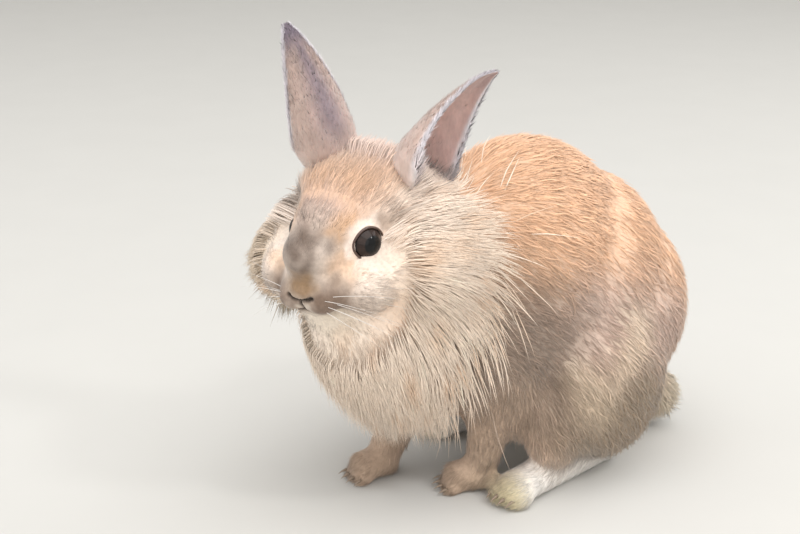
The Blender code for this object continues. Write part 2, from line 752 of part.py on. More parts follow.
def main():
    clear_scene()
    body = collection("lionhead_rabbit")
    spare = collection("cutters")
    spare.hide_render = True
    pieces = {}
    torso = whole_flesh(body)
    torso.name = "torso"
    surface = surface_of(torso)
    for side in ("left", "right"):
        pieces[f"ear_{side}"] = make_ear(side, torso, body, spare)
        pieces[f"eye_{side}"] = make_eye(side, body)
    skull = mass_cutter("cut", HEAD_CUT, head_frame(), spare)
    head, torso = part_off(torso, "head", skull, body)
    pieces["head"] = finish_face(head, body, spare)
    pieces["neck"], torso = part_off(torso, "neck", mass_cutter("cut", COLLAR, None, spare), body)
    pieces["tail"], torso = part_off(torso, "tail", mass_cutter("cut", TAIL_CUT, None, spare), body)
    pieces["torso"] = part_legs(pieces, torso, body, spare)
    with_locks(pieces, surface)
    keep_clear(pieces, spare)
    centre_on_floor(list(pieces.values()))
    for name, piece in pieces.items():
        piece.name = name
        piece.data.name = name
        piece.data.materials.clear()
        piece.data.materials.append(paint(*COLOURS[name]))
    for found in list(spare.objects):
        bpy.data.objects.remove(found, do_unlink=True)


main()
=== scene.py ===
"""Lionhead rabbit: skin, ears, eyes, claws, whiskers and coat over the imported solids.

Shapes are worked out in the body's own millimetres, where the rabbit faces -Y and its left side
is +X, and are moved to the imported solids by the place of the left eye.
"""

import functools
import math

import bmesh
import bpy
import numpy as np
from mathutils import Matrix, Vector


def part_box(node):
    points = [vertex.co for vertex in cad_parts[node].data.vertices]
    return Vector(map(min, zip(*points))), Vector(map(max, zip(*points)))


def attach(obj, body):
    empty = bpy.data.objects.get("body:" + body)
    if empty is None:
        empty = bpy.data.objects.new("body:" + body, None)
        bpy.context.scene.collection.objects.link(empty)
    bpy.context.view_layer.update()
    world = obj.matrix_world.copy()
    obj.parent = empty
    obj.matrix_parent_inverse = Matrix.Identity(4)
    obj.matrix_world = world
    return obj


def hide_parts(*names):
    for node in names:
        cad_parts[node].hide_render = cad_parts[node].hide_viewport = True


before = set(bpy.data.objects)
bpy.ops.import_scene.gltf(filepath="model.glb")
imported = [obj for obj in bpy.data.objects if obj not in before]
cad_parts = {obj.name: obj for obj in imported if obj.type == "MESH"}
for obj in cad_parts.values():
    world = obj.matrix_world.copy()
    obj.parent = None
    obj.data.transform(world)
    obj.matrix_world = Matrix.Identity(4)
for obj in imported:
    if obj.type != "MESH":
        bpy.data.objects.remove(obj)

bl_info = {
    "name": "Lionhead Rabbit",
    "version": (1, 0, 0),
    "blender": (4, 5, 0),
    "location": "3D View > Sidebar > Rabbit",
    "description": "Builds the looks of a standing lionhead rabbit over its packed solids",
    "category": "Add Mesh",
}

MM = 0.001
SIDES = ("left", "right")

# The head: where its middle is, how far it turns to the rabbit's left and how far the nose dips.
HEAD_MIDDLE = (8, -110, 138)
HEAD_TURN = 32
HEAD_DIP = 15

# Rounded masses as (middle, half sizes, turn about X, Y and Z in degrees), as in the solids.
TRUNK = {
    "rump": ((3, 37, 79), (51, 46, 54), (0, 0, 0)),
    "dock": ((6, 60, 38), (22, 17, 20), (0, 0, 0)),
    "haunch": ((2, 20, 94), (53, 50, 59), (0, 0, 0)),
    "loin": ((2, -9, 103), (53, 58, 68), (0, 0, 0)),
    "belly": ((2, 0, 74), (45, 62, 44), (0, 0, 0)),
    "ribs": ((4, -30, 92), (46, 46, 62), (0, 0, 0)),
    "chest": ((8, -54, 82), (38, 34, 44), (0, 0, 0)),
    "nape": ((6, -68, 122), (35, 38, 36), (0, 0, 0)),
    "throat": ((12, -76, 100), (34, 30, 38), (0, 0, 0)),
}
HEAD = {
    "cranium": ((0, 14, 7), (25, 30, 23), (0, 0, 0)),
    "forehead": ((0, -4, 6), (18, 22, 16), (-20, 0, 0)),
    "bridge": ((0, -14, -1), (16, 23, 14), (-24, 0, 0)),
    "muzzle": ((0, -22, -11), (16, 14, 13), (0, 0, 0)),
    "nose": ((0, -33.5, -9), (6, 5, 5), (0, 0, 0)),
    "chin": ((0, -21, -21), (10, 12, 8), (0, 0, 0)),
    "beard": ((3, -8, -33), (24, 17, 20), (0, 0, 0)),
}
HEAD_PAIRS = {
    "cheek": ((18, 8, -10), (18, 22, 20), (0, 0, 0)),
    "jowl": ((20, -9, -15), (15, 19, 15), (0, 0, 0)),
    "pad": ((7, -28.5, -15), (9, 9, 8), (0, 0, 0)),
    "brow": ((12, -3, 10), (8, 13, 7), (0, 0, 0)),
    "ear_base": ((16, 24, 11), (15, 15, 14), (0, 0, 0)),
}
MANE = {
    "ruff_left": ((29, 8, -16), (20, 20, 22), (0, 0, 0)),
    "ruff_right": ((-29, 4, -22), (21, 18, 20), (0, 0, 0)),
    "collar": ((9, 16, -28), (38, 24, 32), (0, 0, 0)),
    "bib": ((10, 0, -54), (34, 27, 36), (0, 0, 0)),
    "crown": ((1, 18, 20), (18, 15, 11), (0, 0, 0)),
}
TAIL_MIDDLE = (9, 75, 23)
TAIL_SIZE = (12, 12, 14)

# Eyes in the head's own frame: the middles of the solid left eye and of the living ones, the ball
# and lid, the way the left one looks, how many degrees the lids open off it, how far from the
# middle they reach, and how far from it the skin lies on the lids and inside the opening.
SOLID_EYE = (12, -5, 2)
EYE_MIDDLES = {"left": (15.8, -4.2, 1.6), "right": (-12.5, -3.5, 2)}
EYE_RADIUS = 9
LID = 1.2
EYE_LOOK = (0.9, -0.38, 0.16)
EYE_OPENING = 57
EYE_REACH = 19
LID_SEAT = 9.2
SUNK_SKIN = 7.0

# Thighs and knees as masses, and the line and sizes of each foot, leg and paw.
THIGHS = {
    "left": ((42, 18, 55), (22, 34, 43), (0, 0, 0)),
    "right": ((-38, 20, 55), (22, 34, 43), (0, 0, 0)),
}
KNEES = {
    "left": ((40, -11, 38), (16, 20, 26), (0, 0, 0)),
    "right": ((-38, -8, 38), (16, 20, 26), (0, 0, 0)),
}
HIND_FEET = {"left": ((27, 29), (44, -43)), "right": ((-25, 31), (-40, -38))}
HIND_FOOT_WIDTH = 10.5
HIND_FOOT_HEIGHT = 9
FORELEGS = {
    "left": (((28, -34, 62), 18), ((24, -39, 30), 12), ((22, -41, 12), 9)),
    "right": (((-18, -48, 60), 17), ((-15, -66, 30), 12.5), ((-13, -76, 12), 9.5)),
}
FOREPAW_LENGTH = 26
FOREPAW_RADIUS = 9
FLOOR_SINK = 1.6
TOES = (-1.5, -0.5, 0.5, 1.5)

# The middle of the muzzle in the head's own frame, where the skin's faces are finer.
MUZZLE_MIDDLE = (0, -31, -14)

# Mouth, lips and nostrils as lines in the head's own frame, each with half its width.
MOUTH_LINES = {
    "philtrum": (((0, -38, -13), (0, -38, -17), (0, -36, -21)), 0.4),
    "lip_left": (((0, -36, -20.5), (5, -34.5, -22), (9.5, -28, -21.5), (12, -21, -20)), 0.5),
    "lip_right": (((0, -36, -20.5), (-5, -34.5, -22), (-9.5, -28, -21.5), (-12, -21, -20)), 0.5),
    "nostril_left": (((0, -38, -13.5), (2.8, -37.5, -12.6), (6, -35.5, -10.6)), 0.55),
    "nostril_right": (((0, -38, -13.5), (-2.8, -37.5, -12.6), (-6, -35.5, -10.6)), 0.55),
}

# Ears: root in the head's own frame, tip in space, the way that the cup opens, how far the
# midline bows the other way, and the width as a share of the table's below.
EARS = {
    "left": {"root": (16, 27, 6), "tip": (31, -43, 207), "opens": (0.86, 0.5, 0.1), "bow": 3,
             "width": 1.24},
    "right": {"root": (-15, 28, 6), "tip": (-35, -114, 224), "opens": (-0.96, 0.05, 0.1), "bow": 7,
              "width": 1.08},
}
EAR_HALF_WIDTHS = (
    (0, 8), (0.1, 16), (0.2, 24), (0.28, 25), (0.35, 23), (0.5, 18.5), (0.65, 13.5), (0.8, 8.5),
    (0.93, 4.2), (1, 1.2),
)
EAR_CURLS = ((0, 145), (0.2, 118), (0.35, 100), (0.5, 86), (0.8, 60), (1, 40))

# Where the dark line of painted shade runs over each ear's back, along its crease, as a turn from -1
# to 1.
KEEL_SHADE_LINE = {"left": 0.1, "right": -0.1}

# The groups that the masses fall into, in the order of the columns of a share table.
GROUPS = ("trunk", "head", "mane", "tail", "thigh", "foot", "foreleg", "paw")

# Coat of each group in millimetres: how deep the skin lies, hair length, tuft width, tufts in
# each square millimetre, and how far the hair stands up, in degrees.
COAT = {
    "trunk": (2.6, 11.5, 1.0, 0.5, 7),
    "head": (1.0, 9.0, 0.7, 1.1, 10),
    "mane": (2.0, 12.0, 0.7, 1.1, 10),
    "tail": (2.5, 14.0, 0.7, 2.0, 24),
    "thigh": (2.6, 11.5, 1.0, 0.5, 7),
    "foot": (1.0, 5.5, 0.55, 2.8, 15),
    "foreleg": (1.6, 7.5, 0.6, 2.2, 13),
    "paw": (1.0, 5.0, 0.55, 2.8, 15),
}

# Layers of the coat, as shares of the figures above: length, width, number and lift.
UNDER_LAYER = (1.0, 1.0, 1.0, 1.0)
TOP_LAYER = (0.95, 0.5, 1.8, 2.0)
FACE_LAYER = (1.0, 0.95, 3.2, 1.3)
THROAT_LAYER = (0.9, 0.9, 2.0, 1.4)


def linear(value):
    """An sRGB hex colour as three linear numbers."""
    parts = [int(value[k:k + 2], 16) / 255 for k in (1, 3, 5)]
    return tuple(p / 12.92 if p <= 0.04045 else ((p + 0.055) / 1.055) ** 2.4 for p in parts)


def colour(name, description, value):
    """A colour that a user can change, from its sRGB hex value."""
    return bpy.props.FloatVectorProperty(
        name=name, description=description, subtype="COLOR", size=3, min=0, max=1,
        default=linear(value),
    )


class RabbitSizes(bpy.types.PropertyGroup):
    """Sizes and counts of the rabbit's skin and coat."""

    skin_grain: bpy.props.FloatProperty(
        name="Skin grain", description="Size of the skin's faces", default=0.0014,
        min=0.0008, unit="LENGTH",
    )
    flow_passes: bpy.props.IntProperty(
        name="Flow", description="How often the trunk's masses are run together", default=60, min=0,
    )
    coat_share: bpy.props.FloatProperty(
        name="Coat density", description="Share of the full number of tufts", default=1.0,
        min=0.05, max=1.2, subtype="FACTOR",
    )
    mane_count: bpy.props.IntProperty(
        name="Mane locks", description="Long strands of the ruff, bib and crown", default=24000,
        min=10,
    )
    ear_wall: bpy.props.FloatProperty(
        name="Ear wall", description="Thickness of the ear's gristle and skin", default=0.0013,
        unit="LENGTH",
    )
    whisker_length: bpy.props.FloatProperty(
        name="Whisker length", description="Length of the longest whisker", default=0.048,
        unit="LENGTH",
    )
    seed: bpy.props.IntProperty(name="Seed", description="Seed of every random draw", default=11)


class RabbitColours(bpy.types.PropertyGroup):
    """Colours of the rabbit's coat, skin, eyes and claws."""

    back: colour("Back", "Orange fawn of the back", "#e2b592")
    flank: colour("Flank", "Greyish pink of the flank", "#c3a899")
    # Grey brown low on the shoulder: partly the coat's own colour, partly painted shade of the lower
    # body, turned from the light above.
    shoulder: colour("Shoulder", "Grey brown low on the shoulder", "#8d7a6b")
    rump: colour("Rump", "Pale rump behind the thigh", "#c9b7a2")
    band: colour("Thigh band", "Cream band down the thigh", "#dcc6ad")
    # Grey brown of the lower thigh: partly the coat's own colour, partly painted shade on the thigh's
    # lower, rear side.
    thigh: colour("Lower thigh", "Grey brown of the lower thigh", "#94826d")
    belly: colour("Belly", "Cream of the belly", "#d6c8b4")
    tail: colour("Tail", "Pale tail", "#cabfab")
    # Pale down under the hair, also mixed into the skin as painted light in the shaded gaps between
    # the hairs.
    undercoat: colour("Undercoat", "Pale down under the long hair", "#efe3d4")
    foot: colour("Hind foot", "White of the hind foot", "#ebe6df")
    toes: colour("Toes", "Yellowish ends of the toes", "#d8caa6")
    foreleg: colour("Foreleg", "Pinkish brown of the foreleg", "#b39a85")
    cheek: colour("Cheek", "Pale cream of the cheek", "#efddce")
    apricot: colour("Cheek edge", "Apricot at the edge of the cheek", "#e0b48c")
    forehead: colour("Forehead", "Pinkish fawn of the forehead", "#c4a595")
    tan: colour("Brow", "Golden tan of the forehead and brows", "#d3a67d")
    bridge: colour("Bridge", "Grey brown of the nose's bridge", "#4d3b2f")
    nose: colour("Nose", "Golden brown of the nose's top", "#80623f")
    pad: colour("Whisker pad", "Mottled grey brown of the whisker pads", "#6b5647")
    ring: colour("Eye ring", "Whitish ring round the eye", "#ead9cc")
    smudge: colour("Smudge", "Dark smudge behind the eye", "#7a675c")
    chin: colour("Chin", "Cream of the chin and lips", "#d9cdbc")
    mane: colour("Mane", "Cream of the ruff and bib", "#f0dcc8")
    tuft: colour("Right ruff", "Yellowish cream of the right ruff", "#d0bb9f")
    crown: colour("Crown", "Pinkish cream of the crown", "#d8c0b4")
    ear: colour("Ear", "Pinkish beige of the ear's back", "#b49d92")
    # The ear's dark tip; the same grey lilac is painted along the ear's keel as shade.
    ear_dark: colour("Ear edge", "Grey lilac of the ear's keel and tip", "#766a74")
    ear_inside: colour("Ear cup", "Pinkish grey skin inside the ear", "#bfa39c")
    ear_rim: colour("Ear rim", "White hairs along the ear's rim", "#d8d2d6")
    lid: colour("Lid", "Pinkish brown rim of the lids", "#4e3931")
    iris: colour("Iris", "Brown grey of the iris", "#2a1c16")
    claw: colour("Claw", "Horn of the claws", "#8c7a68")
    whisker: colour("Whisker", "Whiskers", "#e6e0da")
    paper: colour("Floor", "Studio floor", "#c9c7c2")


def sizes():
    return bpy.context.scene.rabbit_sizes


def colours():
    return bpy.context.scene.rabbit_colours


def chance(salt):
    """A seeded source of random numbers; each piece has its own salt."""
    return np.random.default_rng(sizes().seed * 1000 + salt)


# Geometry helpers on whole arrays.
def unit(vectors):
    size = np.linalg.norm(vectors, axis=-1, keepdims=True)
    return vectors / np.maximum(size, 1e-9)


def dot(first, second):
    return (first * second).sum(-1, keepdims=True)


def ramp(values, start, end):
    """A smooth step: 0 before start, 1 after end, by 3 s squared less 2 s cubed in between."""
    s = np.clip((values - start) / (end - start), 0, 1)
    return s * s * (3 - 2 * s)


def turned(angles):
    """The matrix that turns about X, then Y, then Z of the turned frame, in degrees."""
    made = Matrix.Identity(3)
    for axis, angle in zip("XYZ", angles):
        made = made @ Matrix.Rotation(math.radians(angle), 3, axis)
    return np.array(made)


HEAD_AXES = np.array(
    Matrix.Rotation(math.radians(HEAD_TURN), 3, "Z") @ Matrix.Rotation(math.radians(HEAD_DIP), 3, "X")
)
HEAD_PLACE = np.array(HEAD_MIDDLE, float)


def from_head(points):
    """Points of the head's own frame as points of the body's: turned, then moved."""
    return np.asarray(points, float) @ HEAD_AXES.T + HEAD_PLACE


def in_head(points):
    """Points of the body's frame as points of the head's own."""
    return (points - HEAD_PLACE) @ HEAD_AXES


def opposite(place, side):
    return place if side == "left" else (-place[0], *place[1:])


def eye_place(side):
    """Where the living eye's ball is, a little further out than the solid one."""
    return from_head(EYE_MIDDLES[side])


def origin():
    """Where the body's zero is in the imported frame, in metres, from the left eye's solid."""
    low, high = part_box("eye_left")
    return (np.array(low) + np.array(high)) / 2 - from_head(SOLID_EYE) * MM


ORIGIN = origin()


def waves(points, size, salt):
    """Smooth noise from -1 to 1: the mean of eight sines that run in random directions."""
    draw = np.random.default_rng(salt)
    ways = unit(draw.normal(size=(8, 3))) * (2 * math.pi / size) * draw.uniform(0.6, 1.6, (8, 1))
    return np.sin(points @ ways.T + draw.uniform(0, 2 * math.pi, 8)).mean(1) * 1.8


def wave_vectors(points, size, salt):
    """Three smooth noises as a vector for each point."""
    return np.stack([waves(points, size, salt + k) for k in range(3)], -1)


def grid_triangles(rows, columns, rows_close=False, columns_close=True):
    """Two triangles for each cell of rows of points, joined round where the rows or columns close."""
    row, column = np.meshgrid(
        np.arange(rows if rows_close else rows - 1),
        np.arange(columns if columns_close else columns - 1), indexing="ij",
    )
    here, there = row * columns, (row + 1) % rows * columns
    after = (column + 1) % columns
    corners = [here + column, here + after, there + after]
    corners += [here + column, there + after, there + column]
    return np.stack(corners, -1).reshape(-1, 3)


def tube_triangles(rows, columns):
    """Triangles of rows of points joined round. Two more points, foot and tip, close its ends."""
    k = np.arange(columns)
    k_after = (k + 1) % columns
    last = (rows - 1) * columns
    foot = np.stack([np.full(columns, rows * columns), k_after, k], -1)
    tip = np.stack([last + k, last + k_after, np.full(columns, rows * columns + 1)], -1)
    return np.vstack([grid_triangles(rows, columns), foot, tip])


def ball(turns, heights):
    """A ball of radius 1: at turn u and slope v a point is (cos u cos v, sin u cos v, sin v)."""
    u = np.linspace(0, 2 * math.pi, turns, endpoint=False)
    v = np.linspace(-math.pi / 2, math.pi / 2, heights + 1)[1:-1, None]
    rows = [np.cos(v) * np.cos(u), np.cos(v) * np.sin(u), np.sin(v) * np.ones_like(u)]
    points = np.stack(rows, -1).reshape(-1, 3)
    return np.vstack([points, (0, 0, -1), (0, 0, 1)]), tube_triangles(heights - 1, turns)


def tube(centres, sides, ups, radii, columns):
    """A round tube: at each row the points are centre + radius (cos a side + sin a up)."""
    angle = np.linspace(0, 2 * math.pi, columns, endpoint=False)[None, :, None]
    radii = np.asarray(radii, float)[:, None, None]
    ring = np.cos(angle) * sides[:, None] + np.sin(angle) * ups[:, None]
    points = (centres[:, None] + radii * ring).reshape(-1, 3)
    return np.vstack([points, centres[0], centres[-1]]), tube_triangles(len(centres), columns)


def repeated(triangles, points_each, count):
    """The triangles of one shape for every copy of it, one copy's points after another's."""
    start = (np.arange(count) * points_each)[:, None, None]
    return (triangles[None] + start).reshape(-1, 3)


def mesh_of(name, points, triangles):
    """A mesh from millimetre points of the body's frame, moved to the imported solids."""
    mesh = bpy.data.meshes.new(name)
    mesh.vertices.add(len(points))
    mesh.vertices.foreach_set("co", (points * MM + ORIGIN).astype(np.float32).ravel())
    mesh.loops.add(triangles.size)
    mesh.loops.foreach_set("vertex_index", triangles.astype(np.int32).ravel())
    mesh.polygons.add(len(triangles))
    mesh.polygons.foreach_set("loop_start", np.arange(0, triangles.size, 3, dtype=np.int32))
    mesh.polygons.foreach_set("use_smooth", np.full(len(triangles), True))
    mesh.update(calc_edges=True)
    return mesh


def piece_of(name, mesh, finish_name):
    """An object at the origin that rides on the rabbit's one body."""
    made = bpy.data.objects.new(name, mesh)
    bpy.context.scene.collection.objects.link(made)
    mesh.materials.append(finish(finish_name))
    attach(made, "root")
    return made


def set_markings(mesh, tones):
    """Puts the coat's or skin's colour on each point of a mesh, with the painted shade and painted
    light that it carries.
    """
    made = mesh.attributes.new("markings", "FLOAT_COLOR", "POINT")
    full = np.hstack([tones, np.ones((len(tones), 1))])
    made.data.foreach_set("color", full.astype(np.float32).ravel())


def marked_piece(name, points, triangles, tone, finish_name):
    """A piece whose points carry their own colours."""
    mesh = mesh_of(name, points, triangles)
    set_markings(mesh, tone)
    return piece_of(name, mesh, finish_name)


def set_patches(mesh, triangles, places):
    """The map for baking: a place for each point, read at each triangle's corners."""
    layer = mesh.uv_layers.new(name="OFBake")
    layer.uv.foreach_set("vector", places[triangles.ravel()].astype(np.float32).ravel())


# The masses of the flesh.
def mirrored(form):
    middle, half, turn = form
    return ((-middle[0], middle[1], middle[2]), half, (turn[0], -turn[1], -turn[2]))


def limb(points, steps=7):
    """Masses strung along a bent limb: middles and radii run in straight lines between points."""
    made = []
    for (start, wide), (end, narrow) in zip(points, points[1:]):
        for share in np.arange(steps) / steps:
            radius = wide + (narrow - wide) * share
            made.append((tuple(np.array(start) * (1 - share) + np.array(end) * share),
                         (radius,) * 3, (0, 0, 0)))
    return made + [(points[-1][0], (points[-1][1],) * 3, (0, 0, 0))]


def forepaw_toes(side):
    """Middle, heading and spread of each toe of a forepaw."""
    elbow, wrist = np.array(FORELEGS[side][1][0]), np.array(FORELEGS[side][2][0])
    heading = math.atan2(wrist[0] - elbow[0], elbow[1] - wrist[1]) * 0.4
    forward = np.array([math.sin(heading), -math.cos(heading), 0])
    across = np.array([math.cos(heading), math.sin(heading), 0])
    toes = []
    for toe in TOES:
        place = wrist * (1, 1, 0) + forward * FOREPAW_LENGTH * (0.62 - 0.05 * abs(toe))
        place = place + across * toe * 4
        place[2] = 4.6 - FLOOR_SINK
        toes.append((place, heading, toe))
    return toes, forward, wrist


def forepaw(side):
    toes, forward, wrist = forepaw_toes(side)
    made = []
    for step in range(4):
        place = wrist * (1, 1, 0) + forward * FOREPAW_LENGTH * 0.14 * step
        place[2] = FOREPAW_RADIUS - FLOOR_SINK
        made.append((tuple(place), (FOREPAW_RADIUS,) * 3, (0, 0, 0)))
    for place, heading, toe in toes:
        made.append((tuple(place), (3.4, 6.2, 4.6), (0, 0, math.degrees(heading) + toe * 6)))
    return made


def hind_toes(side):
    """Middle and heading in degrees of each toe of a hind foot, and the foot's own line."""
    heel, toes = (np.array([*end, 0], float) for end in HIND_FEET[side])
    forward = unit(toes - heel)
    across = np.array([-forward[1], forward[0], 0])
    heading = math.degrees(math.atan2(forward[0], -forward[1]))
    made = []
    for toe in TOES:
        place = toes - forward * (5 + 1.4 * abs(toe)) + across * toe * 5
        place[2] = 6.2 - FLOOR_SINK
        made.append((place, heading + toe * -4))
    return made, heel, toes, forward, heading


def hind_foot(side):
    toes, heel, end, forward, heading = hind_toes(side)
    made = []
    for share in np.arange(9) / 8:
        place = heel * (1 - share) + (end - forward * 12) * share
        high = HIND_FOOT_HEIGHT + 4 * (1 - share)
        place[2] = high - FLOOR_SINK
        wide = HIND_FOOT_WIDTH * (0.82 + 0.18 * share)
        made.append((tuple(place), (wide, 12, high), (0, 0, heading)))
    return made + [(tuple(place), (4.2, 8.5, 6.2), (0, 0, turn)) for place, turn in toes]


def body_forms():
    """Every mass as (group, middle, half sizes, axes) in the body's frame."""
    made = [("trunk", form, None) for form in TRUNK.values()]
    made += [("head", form, 1) for form in HEAD.values()]
    for form in HEAD_PAIRS.values():
        made += [("head", form, 1), ("head", mirrored(form), 1)]
    made += [("mane", form, 1) for form in MANE.values()]
    made.append(("tail", (TAIL_MIDDLE, TAIL_SIZE, (-14, 0, 0)), None))
    for side in SIDES:
        lids = (EYE_MIDDLES[side], (EYE_RADIUS + LID,) * 3, (0, 0, 0))
        made += [("head", lids, 1), ("thigh", THIGHS[side], None), ("thigh", KNEES[side], None)]
        made += [("foot", form, None) for form in hind_foot(side)]
        made += [("foreleg", form, None) for form in limb(FORELEGS[side])]
        made += [("paw", form, None) for form in forepaw(side)]
    rows = []
    for group, (middle, half, turn), on_head in made:
        axes = turned(turn)
        place = np.array(middle, float)
        if on_head:
            axes, place = HEAD_AXES @ axes, from_head(place)
        rows.append((group, place, np.array(half, float), axes))
    return rows


FORMS = body_forms()
FORM_GROUP = np.array([GROUPS.index(row[0]) for row in FORMS])
FORM_PLACE = np.array([row[1] for row in FORMS])
FORM_HALF = np.array([row[2] for row in FORMS])
FORM_AXES = np.array([row[3] for row in FORMS])
BLEND = 5.0


def flesh_near(points):
    """Distance to the blended masses, the way out of them, and each group's share there.

    The distance to one mass is k (k - 1) / g, where k is the length of the point over the half
    sizes and g that of the point over their squares. Masses are weighed by e to the minus
    distance over the blend.
    """
    distance = np.empty(len(points))
    outward = np.empty((len(points), 3))
    share = np.empty((len(points), len(GROUPS)))
    member = (FORM_GROUP[:, None] == np.arange(len(GROUPS))).astype(float)
    for start in range(0, len(points), 8192):
        part = slice(start, start + 8192)
        local = np.einsum("nfj,fji->nfi", points[part, None] - FORM_PLACE, FORM_AXES)
        k = np.linalg.norm(local / FORM_HALF, axis=-1)
        steep = local / FORM_HALF**2
        g = np.maximum(np.linalg.norm(steep, axis=-1), 1e-6)
        away = k * (k - 1) / g
        nearest = away.min(1, keepdims=True)
        weight = np.exp((nearest - away) / BLEND)
        total = weight.sum(1, keepdims=True)
        distance[part] = nearest[:, 0] - BLEND * np.log(total[:, 0])
        weight /= total
        out = np.einsum("fij,nfj->nfi", FORM_AXES, steep / g[..., None])
        outward[part] = (out * weight[..., None]).sum(1)
        share[part] = weight @ member
    return distance, unit(outward), share


def by_group(share, column):
    """A coat figure at each point, weighed by how far the point belongs to each group."""
    return share @ np.array([COAT[group][column] for group in GROUPS])


# Markings: soft rounded patches painted one over another. Each is (colour, middle, half sizes,
# turn, softness, strength). The left and right sides carry the same ones.
BODY_PATCHES = (
    ("flank", (56, 0, 74), (34, 80, 40), (0, 0, 0), 0.45, 0.95),
    ("rump", (0, 88, 70), (62, 32, 58), (0, 0, 0), 0.4, 0.7),
    # Low on the shoulder the grey brown is partly colour and partly painted shade, where the body
    # turns under, away from the light above.
    ("shoulder", (42, -42, 70), (32, 36, 52), (0, 0, 0), 0.5, 0.9),
    # The lower thigh's grey brown is partly colour and partly painted shade on its lower, rear side.
    ("thigh", (52, 24, 38), (34, 44, 32), (0, 0, 0), 0.4, 0.9),
    ("band", (58, 16, 80), (17, 22, 10), (45, 0, 0), 0.6, 0.7),
    ("band", (56, -4, 58), (18, 12, 13), (0, 0, 0), 0.6, 0.6),
    ("belly", (0, 4, 26), (30, 66, 18), (0, 0, 0), 0.4, 0.9),
)
HEAD_PATCHES = (
    ("apricot", (38, 14, -22), (20, 24, 20), (0, 0, 0), 0.6, 0.5),
    ("forehead", (0, 0, 20), (22, 20, 13), (0, 0, 0), 0.5, 0.9),
    ("tan", (9, 10, 25), (17, 16, 13), (0, 0, 0), 0.6, 0.85),
    ("tan", (14, -12, 12), (7, 10, 6), (-20, 0, 0), 0.6, 0.8),
    ("crown", (0, 30, 30), (22, 14, 14), (0, 0, 0), 0.5, 0.8),
    ("apricot", (15, -19, -2), (8, 9, 8), (0, 0, 0), 0.6, 0.6),
    ("chin", (0, -22, -30), (18, 18, 11), (0, 0, 0), 0.4, 0.9),
    ("bridge", (0, -22, 5), (12, 18, 13), (-20, 0, 0), 0.6, 0.95),
    ("bridge", (0, -8, 14), (6, 10, 7), (-20, 0, 0), 0.8, 0.6),
    ("pad", (10, -28, -15), (13, 13, 9), (0, 0, 0), 0.6, 0.95),
    ("ring", (16, -4, 2), (12, 11.5, 12.5), (0, 0, 0), 0.16, 0.9),
    ("smudge", (26, 6, 8), (8, 5, 5), (0, 0, 0), 0.6, 0.85),
    ("nose", (0, -36, -5), (9, 8, 6), (0, 0, 0), 0.6, 0.85),
    ("chin", (2.2, -39.5, -16), (3, 4, 4.5), (0, 0, 0), 0.4, 0.95),
)


def paint_over(base, local, patches):
    """Lays each patch over the colours: its share falls from 1 to 0 round its outline."""
    at = np.stack([np.abs(local[:, 0]), local[:, 1], local[:, 2]], -1)
    for name, middle, half, turn, soft, strength in patches:
        inside = np.linalg.norm((at - middle) @ turned(turn) / half, axis=1)
        share = (1 - ramp(inside, 1 - soft, 1 + soft))[:, None] * strength
        base = base * (1 - share) + np.array(getattr(colours(), name)) * share
    return base


def markings(points, share):
    """The coat's colour at each point, blended from the trunk's, head's, mane's and limbs'."""
    palette = colours()
    local = in_head(points)
    uneven = wave_vectors(points, 34, 5) * 5
    count = len(points)
    flat = {name: np.tile(np.array(getattr(palette, name)), (count, 1)) for name in (
        "back", "cheek", "mane", "tail", "foot", "toes", "foreleg")}
    trunk = paint_over(flat["back"], points + uneven, BODY_PATCHES)
    ragged = uneven * 0.25 + wave_vectors(points, 8, 8) * 1.8
    head = paint_over(flat["cheek"], local + ragged, HEAD_PATCHES)
    right = ramp(-local[:, :1], 5, 25)
    mane = flat["mane"] * (1 - right) + np.array(palette.tuft) * right
    golden = ramp(waves(points * (1, 1, 0.45), 15, 9), 0.1, 0.9)[:, None] * 0.55
    mane = mane * (1 - golden) + np.array(palette.apricot) * golden
    top = ramp(local[:, 2:], 8, 20)
    mane = mane * (1 - top) + np.array(palette.crown) * top
    toes = ramp(-points[:, 1:2], 26, 40)
    foot = flat["foot"] * (1 - toes) + flat["toes"] * toes
    kinds = (trunk, head, mane, flat["tail"], trunk, foot, flat["foreleg"], flat["foreleg"])
    return sum(kind * share[:, k:k + 1] for k, kind in enumerate(kinds))


# Materials.
def add_node(tree, kind, settings=None, links=None):
    """Adds a node, sets its inputs or properties, and joins its inputs to other outputs."""
    made = tree.nodes.new(kind)
    for name, value in (settings or {}).items():
        if isinstance(name, int) or name in made.inputs:
            made.inputs[name].default_value = value
        else:
            setattr(made, name, value)
    for name, source in (links or {}).items():
        tree.links.new(source, made.inputs[name])
    return made


def varied(tree, base, size_mm, amount, stretch):
    """The colour made a little lighter and darker by noise of one real size."""
    place = add_node(tree, "ShaderNodeTexCoord")
    mapped = add_node(tree, "ShaderNodeMapping", {"Scale": stretch},
                      {"Vector": place.outputs["Object"]})
    noise = add_node(tree, "ShaderNodeTexNoise", {"Scale": 1 / (size_mm * MM), "Detail": 3.0},
                     {"Vector": mapped.outputs["Vector"]})
    bright = add_node(tree, "ShaderNodeMapRange", {"To Min": 1 - amount, "To Max": 1 + amount},
                      {"Value": noise.outputs["Fac"]})
    tuned = add_node(tree, "ShaderNodeHueSaturation", {},
                     {"Color": base, "Value": bright.outputs["Result"]})
    return tuned.outputs["Color"], noise.outputs["Fac"]


